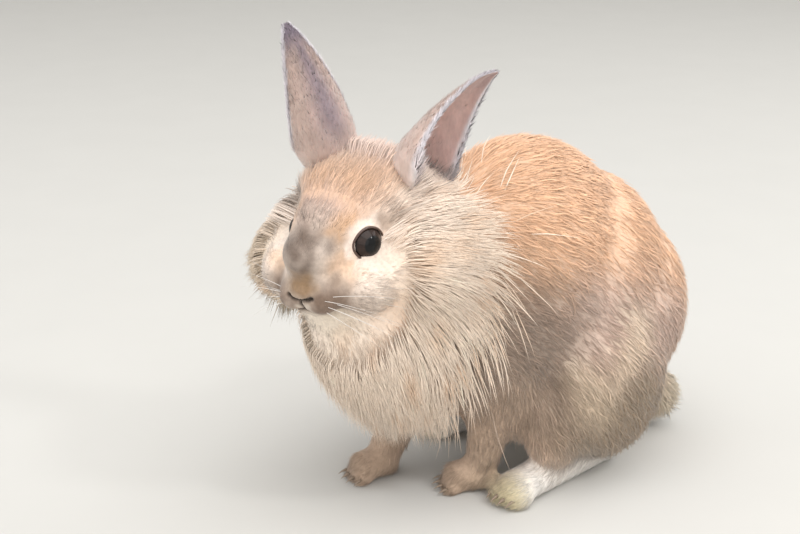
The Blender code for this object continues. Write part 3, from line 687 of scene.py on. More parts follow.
# Finishes as (tint, or None where each point has its own marking; size of the mottling in mm;
# its strength; its stretch; strength and depth in metres of the bump, or None; the shader's own).
FINISHES = {
    # Rabbit wool: fine soft hair, matt with a faint sheen where light grazes the tips.
    "rabbit_wool": (None, 2.2, 0.16, (1, 1, 1), None, {
        "Roughness": 0.8, "Specular IOR Level": 0.2, "Sheen Weight": 0.25,
        "Sheen Roughness": 0.5}),
    # Skin with the short undercoat: soft and matt, its fine hair drawn as a bump.
    "undercoat_on_skin": (None, 1.6, 0.25, (1, 1, 1), (0.5, 0.0006), {
        "Roughness": 0.85, "Specular IOR Level": 0.2, "Sheen Weight": 0.2}),
    # Thin ear skin under velvet hair: matt, with fine veins and grain along the ear.
    "velvet_ear_skin": (None, 1.1, 0.22, (1, 1, 0.3), (0.4, 0.0003), {
        "Roughness": 0.7, "Specular IOR Level": 0.3, "Sheen Weight": 0.5,
        "Subsurface Weight": 0.12, "Subsurface Radius": (0.004, 0.0015, 0.001),
        "Subsurface Scale": 1.0}),
    # Wet eye: a clear coat over a dark pupil and a brown grey iris with fine spokes.
    "wet_eye": (None, 0.7, 0.3, (1, 1, 1), None, {
        "Roughness": 0.4, "IOR": 1.336, "Specular IOR Level": 0.1, "Coat Weight": 0.6,
        "Coat IOR": 1.376, "Coat Roughness": 0.02}),
    # Moist rim of the lids: dark bare skin with a soft shine.
    "moist_lid_rim": ("lid", 0.8, 0.2, (1, 1, 1), (0.3, 0.0002), {
        "Roughness": 0.38, "Coat Weight": 0.3}),
    # Whisker: a stiff pale hair with a smooth shine.
    "whisker_hair": ("whisker", 3, 0.1, (1, 1, 1), (0.3, 0.0002), {"Roughness": 0.35}),
    # Claw horn: translucent brown, worn smooth.
    "claw_horn": ("claw", 1.2, 0.15, (1, 1, 1), (0.3, 0.0002), {
        "Roughness": 0.4, "Coat Weight": 0.2}),
    # Matt studio paper: pale and even.
    "matt_studio_paper": ("paper", 60, 0.02, (1, 1, 1), (0.3, 0.0002), {"Roughness": 0.9}),
}


def finish(name):
    """The material of one finish, made the first time that a piece asks for it."""
    if name in bpy.data.materials:
        return bpy.data.materials[name]
    tint, size_mm, amount, stretch, bump, settings = FINISHES[name]
    made = bpy.data.materials.new(name)
    made.use_nodes = True
    tree = made.node_tree
    tree.nodes.clear()
    if tint:
        base = add_node(tree, "ShaderNodeRGB")
        base.outputs["Color"].default_value = (*getattr(colours(), tint), 1)
    else:
        base = add_node(tree, "ShaderNodeAttribute", {"attribute_name": "markings"})
    tone, noise = varied(tree, base.outputs["Color"], size_mm, amount, stretch)
    links = {"Base Color": tone}
    if bump:
        grain = add_node(tree, "ShaderNodeBump", {"Strength": bump[0], "Distance": bump[1]},
                         {"Height": noise})
        links["Normal"] = grain.outputs["Normal"]
    shader = add_node(tree, "ShaderNodeBsdfPrincipled", settings, links)
    add_node(tree, "ShaderNodeOutputMaterial", {}, {"Surface": shader.outputs["BSDF"]})
    return made


# The skin.
def relax(points, edges, weight, passes):
    """Moves each point half way to the mean of its neighbours, times its weight, each pass."""
    count = len(points)
    links = np.bincount(edges.ravel(), minlength=count)[:, None]
    for _ in range(passes):
        total = np.stack([
            np.bincount(edges[:, 0], points[edges[:, 1], k], count)
            + np.bincount(edges[:, 1], points[edges[:, 0], k], count)
            for k in range(3)
        ], -1)
        points = points + (total / links - points) * 0.5 * weight[:, None]
    return points


def mesh_arrays(mesh):
    """A mesh's points in the body's millimetres, its triangles and its edges."""
    mesh.calc_loop_triangles()
    points = np.empty(len(mesh.vertices) * 3, np.float32)
    mesh.vertices.foreach_get("co", points)
    points = (points.reshape(-1, 3).astype(float) - ORIGIN) / MM
    triangles = np.empty(len(mesh.loop_triangles) * 3, np.int32)
    mesh.loop_triangles.foreach_get("vertices", triangles)
    edges = np.empty(len(mesh.edges) * 2, np.int32)
    mesh.edges.foreach_get("vertices", edges)
    return points, triangles.reshape(-1, 3), edges.reshape(-1, 2)


def normals_of(points, triangles):
    """Point normals: the sum of the cross products of the triangles that meet there."""
    first, second, third = (points[triangles[:, k]] for k in range(3))
    faces = np.cross(second - first, third - first)
    total = np.stack([
        sum(np.bincount(triangles[:, corner], faces[:, k], len(points)) for corner in range(3))
        for k in range(3)
    ], -1)
    return unit(total)


def areas(points, triangles):
    """The area of each triangle: half the length of the cross product of two of its edges."""
    first, second, third = (points[triangles[:, k]] for k in range(3))
    return np.linalg.norm(np.cross(second - first, third - first), axis=1) / 2


def softness(points):
    """How freely the flesh flows together: hardly on the face and feet, fully on the trunk."""
    from_face = np.linalg.norm(points - from_head((0, -14, -4)), axis=1)
    least = 0.12 * (points[:, 2] > 40)
    return np.clip(np.minimum((from_face - 27) / 16, (points[:, 2] - 16) / 22), least, 1)


def remeshed(points, triangles, grain):
    """One closed surface of even faces round all the masses, by Blender's voxel remesh."""
    thing = bpy.data.objects.new("masses", mesh_of("masses", points, triangles))
    bpy.context.scene.collection.objects.link(thing)
    remesh = thing.modifiers.new("grain", "REMESH")
    remesh.mode = "VOXEL"
    remesh.voxel_size = grain
    graph = bpy.context.evaluated_depsgraph_get()
    mesh = bpy.data.meshes.new_from_object(thing.evaluated_get(graph))
    bpy.data.objects.remove(thing, do_unlink=True)
    return mesh


def near_line(points, line):
    """Distance to a line through a few places, sampled forty times and laid on the points."""
    line = from_head(line)
    share = np.linspace(0, len(line) - 1, 40)
    path = np.stack([np.interp(share, np.arange(len(line)), line[:, k]) for k in range(3)], -1)
    laid = points[np.linalg.norm(points[:, None] - path[None], axis=-1).argmin(0)]
    return np.linalg.norm(points[:, None] - laid[None], axis=-1).min(1)


def finer_muzzle(mesh):
    """Splits the faces of the muzzle and round the eyes, so that they can hold fine folds."""
    shape = bmesh.new()
    shape.from_mesh(mesh)
    spots = [(from_head(MUZZLE_MIDDLE), 0.0165)]
    spots += [(eye_place(side), 0.0145) for side in SIDES]
    spots = [(Vector(spot * MM + ORIGIN), reach) for spot, reach in spots]
    near = {
        vert for vert in shape.verts
        if any((vert.co - spot).length < reach for spot, reach in spots)
    }
    edges = [edge for edge in shape.edges if edge.verts[0] in near and edge.verts[1] in near]
    bmesh.ops.subdivide_edges(shape, edges=edges, cuts=2, use_grid_fill=True)
    bmesh.ops.triangulate(shape, faces=shape.faces)
    shape.to_mesh(mesh)
    shape.free()


def pressed_lines(points, normals):
    """Presses the mouth and nostril lines into the muzzle with soft sides, and gives how deep each
    point lies, by which the skin there is darkened as painted shade.
    """
    near = np.linalg.norm(points - from_head(MUZZLE_MIDDLE), axis=1) < 20
    depth = np.zeros(len(points))
    for line, half in MOUTH_LINES.values():
        away = near_line(points[near], line)
        depth[near] = np.maximum(depth[near], 2.2 * np.exp(-(away / (half * 1.5)) ** 2))
    return points - normals * depth[:, None], depth


def seated_eyes(points):
    """Lays the lids on the eyeballs and opens them: the skin round the opening comes down to the
    ball, within 24 degrees of its edge, and the skin inside it sinks behind the ball."""
    for side in SIDES:
        middle = eye_place(side)
        look = eye_frame(side)[0]
        offset = points - middle
        reach = np.linalg.norm(offset, axis=1)
        facing = (offset @ look) / np.maximum(reach, 1e-6)
        angle = np.degrees(np.arccos(np.clip(facing, -1, 1)))
        near = reach < EYE_REACH
        lid = near * (1 - ramp(angle, EYE_OPENING + 2, EYE_OPENING + 26))
        wanted = reach * (1 - lid) + np.minimum(reach, LID_SEAT) * lid
        opened = near * (1 - ramp(angle, EYE_OPENING - 1, EYE_OPENING + 3))
        wanted = wanted * (1 - opened) + SUNK_SKIN * opened
        points = np.where(near[:, None], middle + unit(offset) * wanted[:, None], points)
    return points


def make_skin():
    ball_points, ball_faces = ball(32, 20)
    shapes = np.einsum("fij,fpj->fpi", FORM_AXES, ball_points * FORM_HALF[:, None])
    points = (shapes + FORM_PLACE[:, None]).reshape(-1, 3)
    mesh = remeshed(points, repeated(ball_faces, len(ball_points), len(FORMS)), sizes().skin_grain)
    points, triangles, edges = mesh_arrays(mesh)
    points = relax(points, edges, np.ones(len(points)), 7)
    points = relax(points, edges, softness(points), sizes().flow_passes)
    share = flesh_near(points)[2]
    points = points - normals_of(points, triangles) * by_group(share, 0)[:, None]
    points = relax(points, edges, np.ones(len(points)), 2)
    mesh.vertices.foreach_set("co", (points * MM + ORIGIN).astype(np.float32).ravel())
    finer_muzzle(mesh)
    points, triangles, edges = mesh_arrays(mesh)
    points, depth = pressed_lines(points, normals_of(points, triangles))
    points = seated_eyes(points)
    points[:, 2] = np.maximum(points[:, 2], 0.15)
    made = mesh_of("skin", points, triangles)
    share = flesh_near(points)[2]
    tone = markings(points, share)
    # The skin under the hair is mixed toward the pale undercoat: partly the pale down of a lionhead,
    # partly painted light that lifts the shade in the gaps between the hairs.
    pale = group_share(share, "mane", "tail") * 0.4 + group_share(share, "trunk", "thigh") * 0.15
    pale = (pale + group_share(share, "head") * long_share(points) * 0.5)[:, None]
    tone = tone * (1 - pale) + np.array(colours().undercoat) * pale
    # Painted shade: the skin darkens with the depth of the pressed mouth and nostril lines, as shade
    # falls in the grooves.
    tone = tone * (1 - 0.82 * np.clip(depth / 1.4, 0, 1))[:, None]
    set_markings(made, tone)
    bpy.data.meshes.remove(mesh)
    return made


FLESH_NODES = (
    "torso", "neck", "head", "tail", "thigh_left", "thigh_right", "hind_foot_left",
    "hind_foot_right", "foreleg_left", "foreleg_right", "forepaw_left", "forepaw_right",
)


class RABBIT_OT_skin(bpy.types.Operator):
    """Builds one skin over the whole body from its rounded masses"""

    bl_idname = "rabbit.skin"
    bl_label = "Skin"

    def execute(self, context):
        skin_surface.cache_clear()
        made = piece_of("skin", make_skin(), "undercoat_on_skin")
        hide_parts(*FLESH_NODES)
        return {"FINISHED"}


# The ears.
def ear_axis(side, share):
    """The ear's midline: a straight line from root to tip, bowed back by a sine of its length."""
    ear = EARS[side]
    root, tip = from_head(ear["root"]), np.array(ear["tip"], float)
    bow = unit(np.array(ear["opens"])) * ear["bow"]
    share = np.asarray(share, float)[..., None]
    return root * (1 - share) + tip * share - bow * np.sin(math.pi * share)


def ear_frames(side, share):
    """At each share of the length: the midline, the way out of the cup and the way across."""
    here = ear_axis(side, share)
    ahead, behind = np.minimum(share + 0.02, 1), np.maximum(share - 0.02, 0)
    way = unit(ear_axis(side, ahead) - ear_axis(side, behind))
    opens = np.array(EARS[side]["opens"])
    out = unit(opens - way * dot(way, opens))
    return here, way, out, np.cross(way, out)


def ear_places(side, share, turn, lift):
    """Points of the ear's arc at a share of its length and a turn from -1 to 1, lifted off it.

    Each cross section is an arc of radius half width over curl about a centre in front of the
    midline; the point is centre + (radius + lift) (sin a across - cos a out).
    """
    here, way, out, across = ear_frames(side, share)
    curl = np.radians(np.interp(share, *np.array(EAR_CURLS).T))
    radius = np.interp(share, *np.array(EAR_HALF_WIDTHS).T) * EARS[side]["width"] / curl
    angle = (curl * turn)[..., None]
    spoke = across * np.sin(angle) - out * np.cos(angle)
    centre = here + out * (radius * 0.3)[..., None]
    return centre + spoke * (radius[..., None] + np.asarray(lift)[..., None]), spoke, way


def ear_shell(side):
    """The ear as a closed loop of its outer arc and inner arc carried from root to tip."""
    rows, half = 90, 29
    wall = sizes().ear_wall / MM
    share = np.repeat(np.linspace(0, 1, rows), 2 * half)
    turn = np.tile(np.concatenate([np.linspace(-1, 1, half), np.linspace(1, -1, half)]), rows)
    outer = np.tile(np.repeat([1.0, -1.0], half), rows)
    thin = np.sqrt(np.clip(1 - np.abs(turn) ** 14, 0.04, 1)) * (1 - 0.55 * share)
    ripple = 0.25 * np.sin(turn * 9 + share * 11) * (1 - outer) / 2
    points, spoke, way = ear_places(side, share, turn, outer * thin * wall / 2 + ripple)
    foot = points[:2 * half].mean(0)
    tip = points[-2 * half:].mean(0) + way[-1] * 0.8
    triangles = tube_triangles(rows, 2 * half)
    inward = dot(np.cross(points[1] - points[0], points[2 * half] - points[0]), spoke[0]) < 0
    if inward:
        triangles = triangles[:, ::-1]
    tone = ear_tones(side, share, turn, outer, points)
    tone = np.vstack([tone, tone[0], tone[-1]])
    return np.vstack([points, foot, tip]), triangles, tone


def ear_tones(side, share, turn, outer, points):
    """Ear colours: grey lilac tip, a grey lilac band of painted shade along the keel, and pale rim
    outside; pink with pale rims in the cup.
    """
    palette = colours()
    # Painted shade: a grey lilac band along the crease of the ear's back, where one side turns from
    # the light.
    keel = np.exp(-((turn - KEEL_SHADE_LINE[side]) / 0.34) ** 2) * ramp(share, 0.15, 0.5) * 0.8
    tip = ramp(share, 0.74, 0.95)
    dark = np.clip(np.maximum(keel, tip), 0, 1)[:, None]
    back = np.array(palette.ear) * (1 - dark) + np.array(palette.ear_dark) * dark
    deep = (tip * 0.3)[:, None]
    cup = np.array(palette.ear_inside) * (1 - deep) + np.array(palette.ear_dark) * deep
    tone = np.where((outer > 0)[:, None], back, cup)
    rim = ramp(np.abs(turn), 0.84, 0.97)[:, None] * 0.9
    tone = tone * (1 - rim) + np.array(palette.ear_rim) * rim
    base = (1 - ramp(share, 0.12, 0.42))[:, None] * 0.7
    tone = tone * (1 - base) + np.array(palette.crown) * base
    return tone * (1 + 0.1 * waves(points, 9, 21)[:, None])


class RABBIT_OT_ears(bpy.types.Operator):
    """Builds each ear as a thin rolled shell with an open cup"""

    bl_idname = "rabbit.ears"
    bl_label = "Ears"

    def execute(self, context):
        for side in SIDES:
            made = marked_piece(f"ear_skin_{side}", *ear_shell(side), "velvet_ear_skin")
            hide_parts(f"ear_{side}")
        return {"FINISHED"}


# The eyes: where pupil and iris end in degrees off the look, the ball and how far its front
# bulges, and the lid's rim: its thickness, distance from the ball's middle and height to width.
PUPIL = 27
IRIS = 56
BALL_RADIUS = 8.3
BALL_BULGE = 0.7
RIM_RADIUS = 0.6
RIM_PLACE = 8.9
RIM_HEIGHT = 0.96


def eye_frame(side):
    """The way an eye looks, and two ways square to it."""
    look = unit(np.array(opposite(EYE_LOOK, side), float) @ HEAD_AXES.T)
    across = unit(np.cross(look, (0, 0, 1)))
    return look, across, np.cross(across, look)


def eyeball(side):
    """A ball whose front bulges: the radius gains the bulge times a bell of the angle off the look."""
    points, triangles = ball(72, 54)
    look, across, up = eye_frame(side)
    angle = np.degrees(np.arccos(np.clip(points[:, 2], -1, 1)))
    around = np.arctan2(points[:, 1], points[:, 0])
    radius = BALL_RADIUS + BALL_BULGE * np.exp(-(angle / 34) ** 4)
    local = points * radius[:, None]
    placed = local[:, :1] * across + local[:, 1:2] * up + local[:, 2:] * look + eye_place(side)
    palette = colours()
    iris = np.array(palette.iris)
    spokes = 1 + 0.35 * np.sin(around * 46) * np.sin(around * 17 + 1)
    lit = ramp(angle, PUPIL, PUPIL + 3) * (1 - ramp(angle, IRIS - 6, IRIS))
    tone = np.full((len(points), 3), 0.006) + iris * (lit * spokes)[:, None]
    return placed, triangles, tone


def lid_ring(side):
    """A closed ring on the ball: an oval about the look, as thick as the rim's radius."""
    rows, columns = 96, 14
    look, across, up = eye_frame(side)
    u = np.linspace(0, 2 * math.pi, rows, endpoint=False)
    corner = 1 + 0.05 * np.cos(u - math.pi) ** 8 + 0.04 * np.cos(u) ** 8
    angle = np.radians(EYE_OPENING) * corner
    angle = angle * np.sqrt(np.cos(u) ** 2 + (np.sin(u) * RIM_HEIGHT) ** 2)
    spoke = np.cos(u)[:, None] * across + np.sin(u)[:, None] * up
    line = np.cos(angle)[:, None] * look + np.sin(angle)[:, None] * spoke
    centres = eye_place(side) + line * RIM_PLACE
    side_way = unit(np.cos(angle)[:, None] * spoke - np.sin(angle)[:, None] * look)
    a = np.linspace(0, 2 * math.pi, columns, endpoint=False)[None, :, None]
    ring = np.cos(a) * side_way[:, None] + np.sin(a) * line[:, None] * 0.8
    points = (centres[:, None] + RIM_RADIUS * ring).reshape(-1, 3)
    return points, grid_triangles(rows, columns, rows_close=True)


class RABBIT_OT_eyes(bpy.types.Operator):
    """Builds the eyeballs with pupil and iris, and the bare rims of the lids"""

    bl_idname = "rabbit.eyes"
    bl_label = "Eyes"

    def execute(self, context):
        for side in SIDES:
            made = marked_piece(f"eyeball_{side}", *eyeball(side), "wet_eye")
            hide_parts(f"eye_{side}")
            points, triangles = lid_ring(side)
            triangles = outward_faces(points, triangles, eye_place(side))
            rim = mesh_of(f"lid_rim_{side}", points, triangles)
            piece_of(f"lid_rim_{side}", rim, "moist_lid_rim")
        return {"FINISHED"}


def outward_faces(points, triangles, middle):
    """The triangles turned so that the closed surface's volume counts as positive."""
    corners = points[triangles] - middle
    volume = np.einsum("ij,ij->", corners[:, 0], np.cross(corners[:, 1], corners[:, 2]))
    return triangles if volume > 0 else triangles[:, ::-1]


# The coat.
def scattered(points, triangles, density, salt):
    """Roots drawn over the skin: triangles by area times density, then even inside each one."""
    draw = chance(salt)
    expected = areas(points, triangles) * density[triangles].mean(1)
    total = np.cumsum(expected)
    count = int(total[-1] * sizes().coat_share)
    chosen = np.searchsorted(total, draw.uniform(0, total[-1], count))
    u, v = draw.uniform(size=(2, count, 1))
    over = u + v > 1
    u, v = np.where(over, 1 - u, u), np.where(over, 1 - v, v)
    corners = triangles[np.minimum(chosen, len(triangles) - 1)]
    return corners, np.hstack([1 - u - v, u, v])


def mixed(values, corners, weights):
    """A value at each root from the three corners of its triangle."""
    return (values[corners] * weights[..., None]).sum(1)


def lie_of(points, normals, share):
    """The way the coat lies along the skin, as a unit vector on the surface.

    On the trunk it runs back and ever more down; on the head away from the nose; in the mane
    back and down on each side; down the legs, and forward along the feet.
    """
    x, y = points.T[:2]
    side = np.clip(x / 20, -1, 1)
    ones, nothing = np.ones_like(x), np.zeros_like(x)
    local = in_head(points)
    down = -0.22 - 1.1 * ramp(y, -5, 80) - 0.5 * ramp(np.abs(x), 22, 52)
    front = ramp(-y, 48, 76)
    trunk = np.stack([0.1 * side, 1 - 0.8 * front, down - 0.9 * front], -1)
    away = unit(local - (0, -38, -6))
    droop = ramp(-local[:, 2], 2, 20) * ramp(local[:, 1], -34, 0)
    away = away + np.stack([nothing, 0.2 * ones, -0.85 * droop + 0.1], -1)
    mane = mane_flow(local)
    ways = (
        trunk, away @ HEAD_AXES.T, mane @ HEAD_AXES.T,
        np.stack([nothing, 0.6 * ones, -0.8 * ones], -1),
        np.stack([0.05 * side, 0.55 * ones, -0.85 * ones], -1),
        np.stack([nothing, -ones, -0.15 * ones], -1),
        np.stack([nothing, -0.1 * ones, -ones], -1),
        np.stack([nothing, -ones, -0.35 * ones], -1),
    )
    lie = sum(unit(way) * share[:, k:k + 1] for k, way in enumerate(ways))
    lie = lie + wave_vectors(points, 26, 40) * 0.14
    lie = lie - normals * dot(lie, normals)
    close, away = eye_parting(points)
    inward = np.minimum(dot(lie, away), 0)
    lie = lie - away * inward * close * 1.1 + away * close * 0.25
    return unit(lie - normals * dot(lie, normals))


def about_eye(points, side):
    """Offsets from an eye's middle, their part square to its look, and how far ahead they are."""
    look = eye_frame(side)[0]
    offset = points - eye_place(side)
    ahead = dot(offset, look)
    return offset, offset - ahead * look, ahead


def eye_parting(points):
    """How near each point is to an eye's opening, from 1 at its edge, and the way away from it."""
    close, away = np.zeros((len(points), 1)), np.zeros((len(points), 3))
    for side in SIDES:
        offset, spoke, ahead = about_eye(points, side)
        size = np.linalg.norm(spoke, axis=1, keepdims=True)
        in_reach = np.linalg.norm(offset, axis=1, keepdims=True) < EYE_REACH
        here = (1 - ramp(size, 8.4, 16)) * in_reach * (ahead > 0)
        close = np.maximum(close, here)
        away = away + unit(spoke) * here
    return close, unit(away)


def mane_flow(local):
    """The mane's flow in the head's frame: out, back and down each side, down the bib, and back
    over the crown and nape."""
    side = np.clip(local[:, :1] / 16, -1, 1)
    low = ramp(-local[:, 2:], 4, 30)
    left = np.array([0.42, 0.82, -0.36]) * (1 - low) + np.array([0.3, 0.34, -0.9]) * low
    right = np.array([-0.75, 0.2, -0.6])
    flow = left * (1 + side) / 2 + right * (1 - side) / 2
    bib = ramp(-local[:, 2:], 30, 50)
    flow = flow * (1 - bib) + np.array([0.1, 0.05, -1]) * bib
    high = ramp(local[:, 2:], 4, 20)
    flow = flow * (1 - high) + np.array([0, 0.95, 0.2]) * high
    nape = ramp(local[:, 1:2], 26, 42) * (1 - high)
    return unit(flow * (1 - nape) + np.array([0, 0.8, -0.6]) * nape)


def clumps(roots, size, salt):
    """Gathers roots into uneven cells: each root's cell number and its cell's middle."""
    cell = np.floor((roots + wave_vectors(roots, size * 3, salt) * size * 0.7) / size).astype(int)
    _, number = np.unique(cell, axis=0, return_inverse=True)
    number = number.ravel()
    count = np.bincount(number)[:, None]
    middle = np.stack([np.bincount(number, roots[:, k]) for k in range(3)], -1) / count
    return number, middle[number]


def strand_solids(paths, normals, width, flat=0.45):
    """Closed tapered tufts: three corners round each point of a path, and one point at its tip.

    At row s the corners are centre +/- side half a width, and centre + up times flat of it; the
    width follows (1 - s) to the power 0.7, a little narrower at the root.
    """
    count, rows = paths.shape[0], paths.shape[1] - 1
    way = unit(np.gradient(paths, axis=1))
    side = unit(np.cross(normals[:, None], way))
    up = np.cross(way, side)
    s = np.arange(rows) / rows
    taper = (1 - s) ** 0.7 * (0.75 + 0.45 * np.sin(math.pi * np.minimum(s * 1.3, 1)))
    half = (width[:, None] * taper / 2)[..., None]
    centre, side, up = paths[:, :-1], side[:, :-1], up[:, :-1]
    ring = np.stack([centre + side * half, centre + up * half * 2 * flat, centre - side * half], 2)
    points = np.concatenate([ring.reshape(count, rows * 3, 3), paths[:, -1:]], 1)
    last = (rows - 1) * 3
    tip = [(last + k, last + (k + 1) % 3, rows * 3) for k in range(3)]
    triangles = np.vstack([grid_triangles(rows, 3), tip, [(2, 1, 0)]])
    along = np.concatenate([np.repeat(s, 3), [1.0]])
    return points.reshape(-1, 3), repeated(triangles, rows * 3 + 1, count), along


def unwrap(roots, middle):
    """Where each root lies on an even-area unwrap of the skin seen from inside the piece:
    turn round the upright axis over a full turn, and half of one plus the sine of the slope."""
    way = unit(roots - middle)
    turn = np.arctan2(way[:, 0], -way[:, 1]) / (2 * math.pi) + 0.5
    return np.stack([turn, (way[:, 2] + 1) / 2], -1) * 0.98 + 0.01


def soften_normals(mesh, points, triangles, normals, each):
    """Shades each tuft partly by the skin under it, as light spreads through real hair: the
    normal is half the skin's and half the tuft's own."""
    own = normals_of(points, triangles)
    skin = np.repeat(normals, each, axis=0)
    mesh.normals_split_custom_set_from_vertices(unit(skin * 0.5 + own * 0.5))


def strand_piece(name, paths, normals, width, tone, roots, middle, root_shade=0.92, flat=0.4):
    """A piece of coat: the tufts, their colours from dark root to light tip, and their patches."""
    points, triangles, along = strand_solids(paths, normals, width, flat)
    each = len(along)
    shade = root_shade + (1.06 - root_shade) * np.minimum(along * 1.5, 1)
    full = (tone[:, None] * shade[None, :, None]).reshape(-1, 3)
    mesh = mesh_of(name, points, triangles)
    soften_normals(mesh, points, triangles, normals, each)
    set_markings(mesh, np.clip(full, 0, 1))
    across = np.append(np.tile([1.0, 0.0, -1.0], (each - 1) // 3), 0.0)
    patch = np.stack([across, along * 2 - 1], -1) * 0.0015
    places = (unwrap(roots, middle)[:, None] + patch[None]).reshape(-1, 2)
    set_patches(mesh, triangles, places)
    return piece_of(name, mesh, "rabbit_wool")


def combed(roots, normals, lie, length, lift, pull, centre, rows, salt):
    """Paths of short tufts: root + length (s cos lift lie + (s - 0.45 s s) sin lift normal),
    drawn to the middle of its clump with s squared and swayed sideways."""
    draw = chance(salt)
    s = (np.arange(rows + 1) / rows)[None, :, None]
    lift = np.radians(lift * draw.uniform(0.6, 1.5, len(roots)))[:, None, None]
    long = (length * draw.uniform(0.72, 1.22, len(roots)))[:, None, None]
    sway = np.cross(normals, lie) * draw.normal(0, 0.16, (len(roots), 1))
    fall = (long * s) ** 2 / 110
    draw_in = (centre - roots) * pull
    draw_in = draw_in - normals * dot(draw_in, normals)
    path = roots[:, None] - normals[:, None] * 0.5
    along = s * np.cos(lift) * lie[:, None]
    path = path + long * (along + (s - 0.45 * s * s) * np.sin(lift) * normals[:, None])
    return path - normals[:, None] * fall + (draw_in[:, None] + sway[:, None] * long) * s**2


@functools.cache
def skin_surface():
    """The skin's points, triangles, normals, group shares, room for hair, and how far a smoothed
    copy of the skin stands over each hollow."""
    points, triangles, edges = mesh_arrays(bpy.data.objects["skin"].data)
    normals = normals_of(points, triangles)
    smooth = relax(points, edges, np.ones(len(points)), 40)
    hollow = np.maximum(dot(smooth - points, normals), 0)
    return points, triangles, normals, flesh_near(points)[2], clear_of_eyes(points), hollow


def group_share(share, *names):
    return sum(share[:, GROUPS.index(name)] for name in names)


def clear_of_eyes(points):
    """1 away from the eye openings, the mouth and the nostrils, falling to 0 inside them."""
    free = np.ones(len(points))
    for side in SIDES:
        offset, spoke, ahead = about_eye(points, side)
        facing = (ahead[:, 0] > 0) & (np.linalg.norm(offset, axis=1) < 13)
        free *= 1 - facing * (1 - ramp(np.linalg.norm(spoke, axis=1), 8.0, 8.7))
    near = np.linalg.norm(points - from_head(MUZZLE_MIDDLE), axis=1) < 24
    away = np.min([near_line(points[near], line) for line, _ in MOUTH_LINES.values()], axis=0)
    free[near] *= ramp(away, 0.8, 1.4)
    return free


def coat_tufts(select, salt, clump=4.2, pull=0.4, layer=UNDER_LAYER, rows=2):
    """Roots and figures of the short coat where a function of points and shares is not zero.

    Hair laid flat in a hollow would sink into it, so off the head it is raised by the hollow
    times the length squared over 25, times s squared.
    """
    longer, wider, more, steeper = layer
    points, triangles, normals, share, room, hollow = skin_surface()
    where = select(points, share) * room * (points[:, 2] > 0.6)
    density = by_group(share, 3) * where * more
    corners, weights = scattered(points, triangles, density, salt)
    roots = mixed(points, corners, weights)
    normal = unit(mixed(normals, corners, weights))
    share = mixed(share, corners, weights)
    draw = chance(salt + 500)
    number, centre = clumps(roots, clump, salt)
    on_head = group_share(share, "head", "mane")
    reach = hair_reach(in_head(roots)) * (1 - 0.6 * eye_parting(roots)[0][:, 0])
    length = by_group(share, 1) * (1 - on_head) + np.minimum(reach, 12) * on_head
    width = by_group(share, 2) * (1 - on_head) + (0.34 + 0.05 * np.minimum(reach, 12)) * on_head
    width = width * draw.uniform(0.7, 1.3, len(roots)) * wider
    lift = by_group(share, 4) * steeper
    lie = lie_of(roots, normal, share)
    lie = unit(lie + draw.normal(0, 0.08, lie.shape))
    paths = combed(roots, normal, lie, length * longer, lift, pull, centre, rows, salt + 900)
    rise = mixed(hollow, corners, weights)[:, 0] * length**2 / 25
    rise = np.minimum(rise, 5) * (1 - on_head)
    s = (np.arange(rows + 1) / rows)[None, :, None]
    paths = paths + normal[:, None] * rise[:, None, None] * s**2
    paths[..., 2] = np.maximum(paths[..., 2], 0.25)
    tone = markings(roots, share)
    small = group_share(share, "head", "foot", "foreleg", "paw")
    speckle = 0.08 + 0.06 * small + 0.18 * on_head * (1 - ramp(tone.mean(1), 0.2, 0.5))
    clump_tone = draw.normal(1, 0.05, number.max() + 1)[number]
    tone = tone * (clump_tone * draw.normal(1, speckle))[:, None]
    return roots, normal, paths, width, tone


def hair_reach(local):
    """Hair length on the head in millimetres: 1 at the nose, 7 behind the eyes, over 30 at the
    ruffs and bib, at most 12 on the forehead and crown, and 13 round the roots of the ears."""
    away = np.linalg.norm(local - (0, -28, -8), axis=-1)
    long = 1.1 + 6 * ramp(away, 9, 36) + 26 * ramp(away, 38, 64)
    high = ramp(local[..., 2], -2, 16)
    long = long * (1 - high) + np.minimum(long, 12) * high
    side = np.stack([np.abs(local[..., 0]), local[..., 1], local[..., 2]], -1)
    from_ear = np.linalg.norm(side - (16, 22, 22), axis=-1)
    return np.maximum(long, 13 * (1 - ramp(from_ear, 10, 22)))


def coat_piece(name, middle, select, salt, *how):
    """A piece of short coat, unwrapped about its middle."""
    roots, normal, paths, width, tone = coat_tufts(select, salt, *how)
    strand_piece(name, paths, normal, width, tone, roots, middle)


def trunk_part(side, low, high):
    """Where one side's stretch of the trunk and thigh is, by its place along the body."""

    def select(points, share):
        body = group_share(share, "trunk", "thigh")
        inside = (points[:, 1] >= low) & (points[:, 1] < high)
        return body * (inside & ((points[:, 0] >= 3) == (side == "left")))

    return select


# The trunk's coat in stretches along the body, and the middles that the maps unwrap about.
TRUNK_STRETCHES = {"shoulder": (-200, -25), "loin": (-25, 22), "haunch": (22, 200)}
TRUNK_MIDDLE = (2, 0, 90)
LEGS_MIDDLE = (4, -20, 30)


class RABBIT_OT_trunk_coat(bpy.types.Operator):
    """Covers the trunk and thighs with overlapping tufts"""

    bl_idname = "rabbit.trunk_coat"
    bl_label = "Trunk coat"

    def execute(self, context):
        salt = 10
        for side in SIDES:
            for name, (low, high) in TRUNK_STRETCHES.items():
                part = trunk_part(side, low, high)
                coat_piece(f"coat_{name}_{side}", TRUNK_MIDDLE, part, salt)
                coat_piece(f"top_coat_{name}_{side}", TRUNK_MIDDLE, part, salt + 1, 5.0, 0.25,
                           TOP_LAYER, 1)
                salt += 2
        return {"FINISHED"}


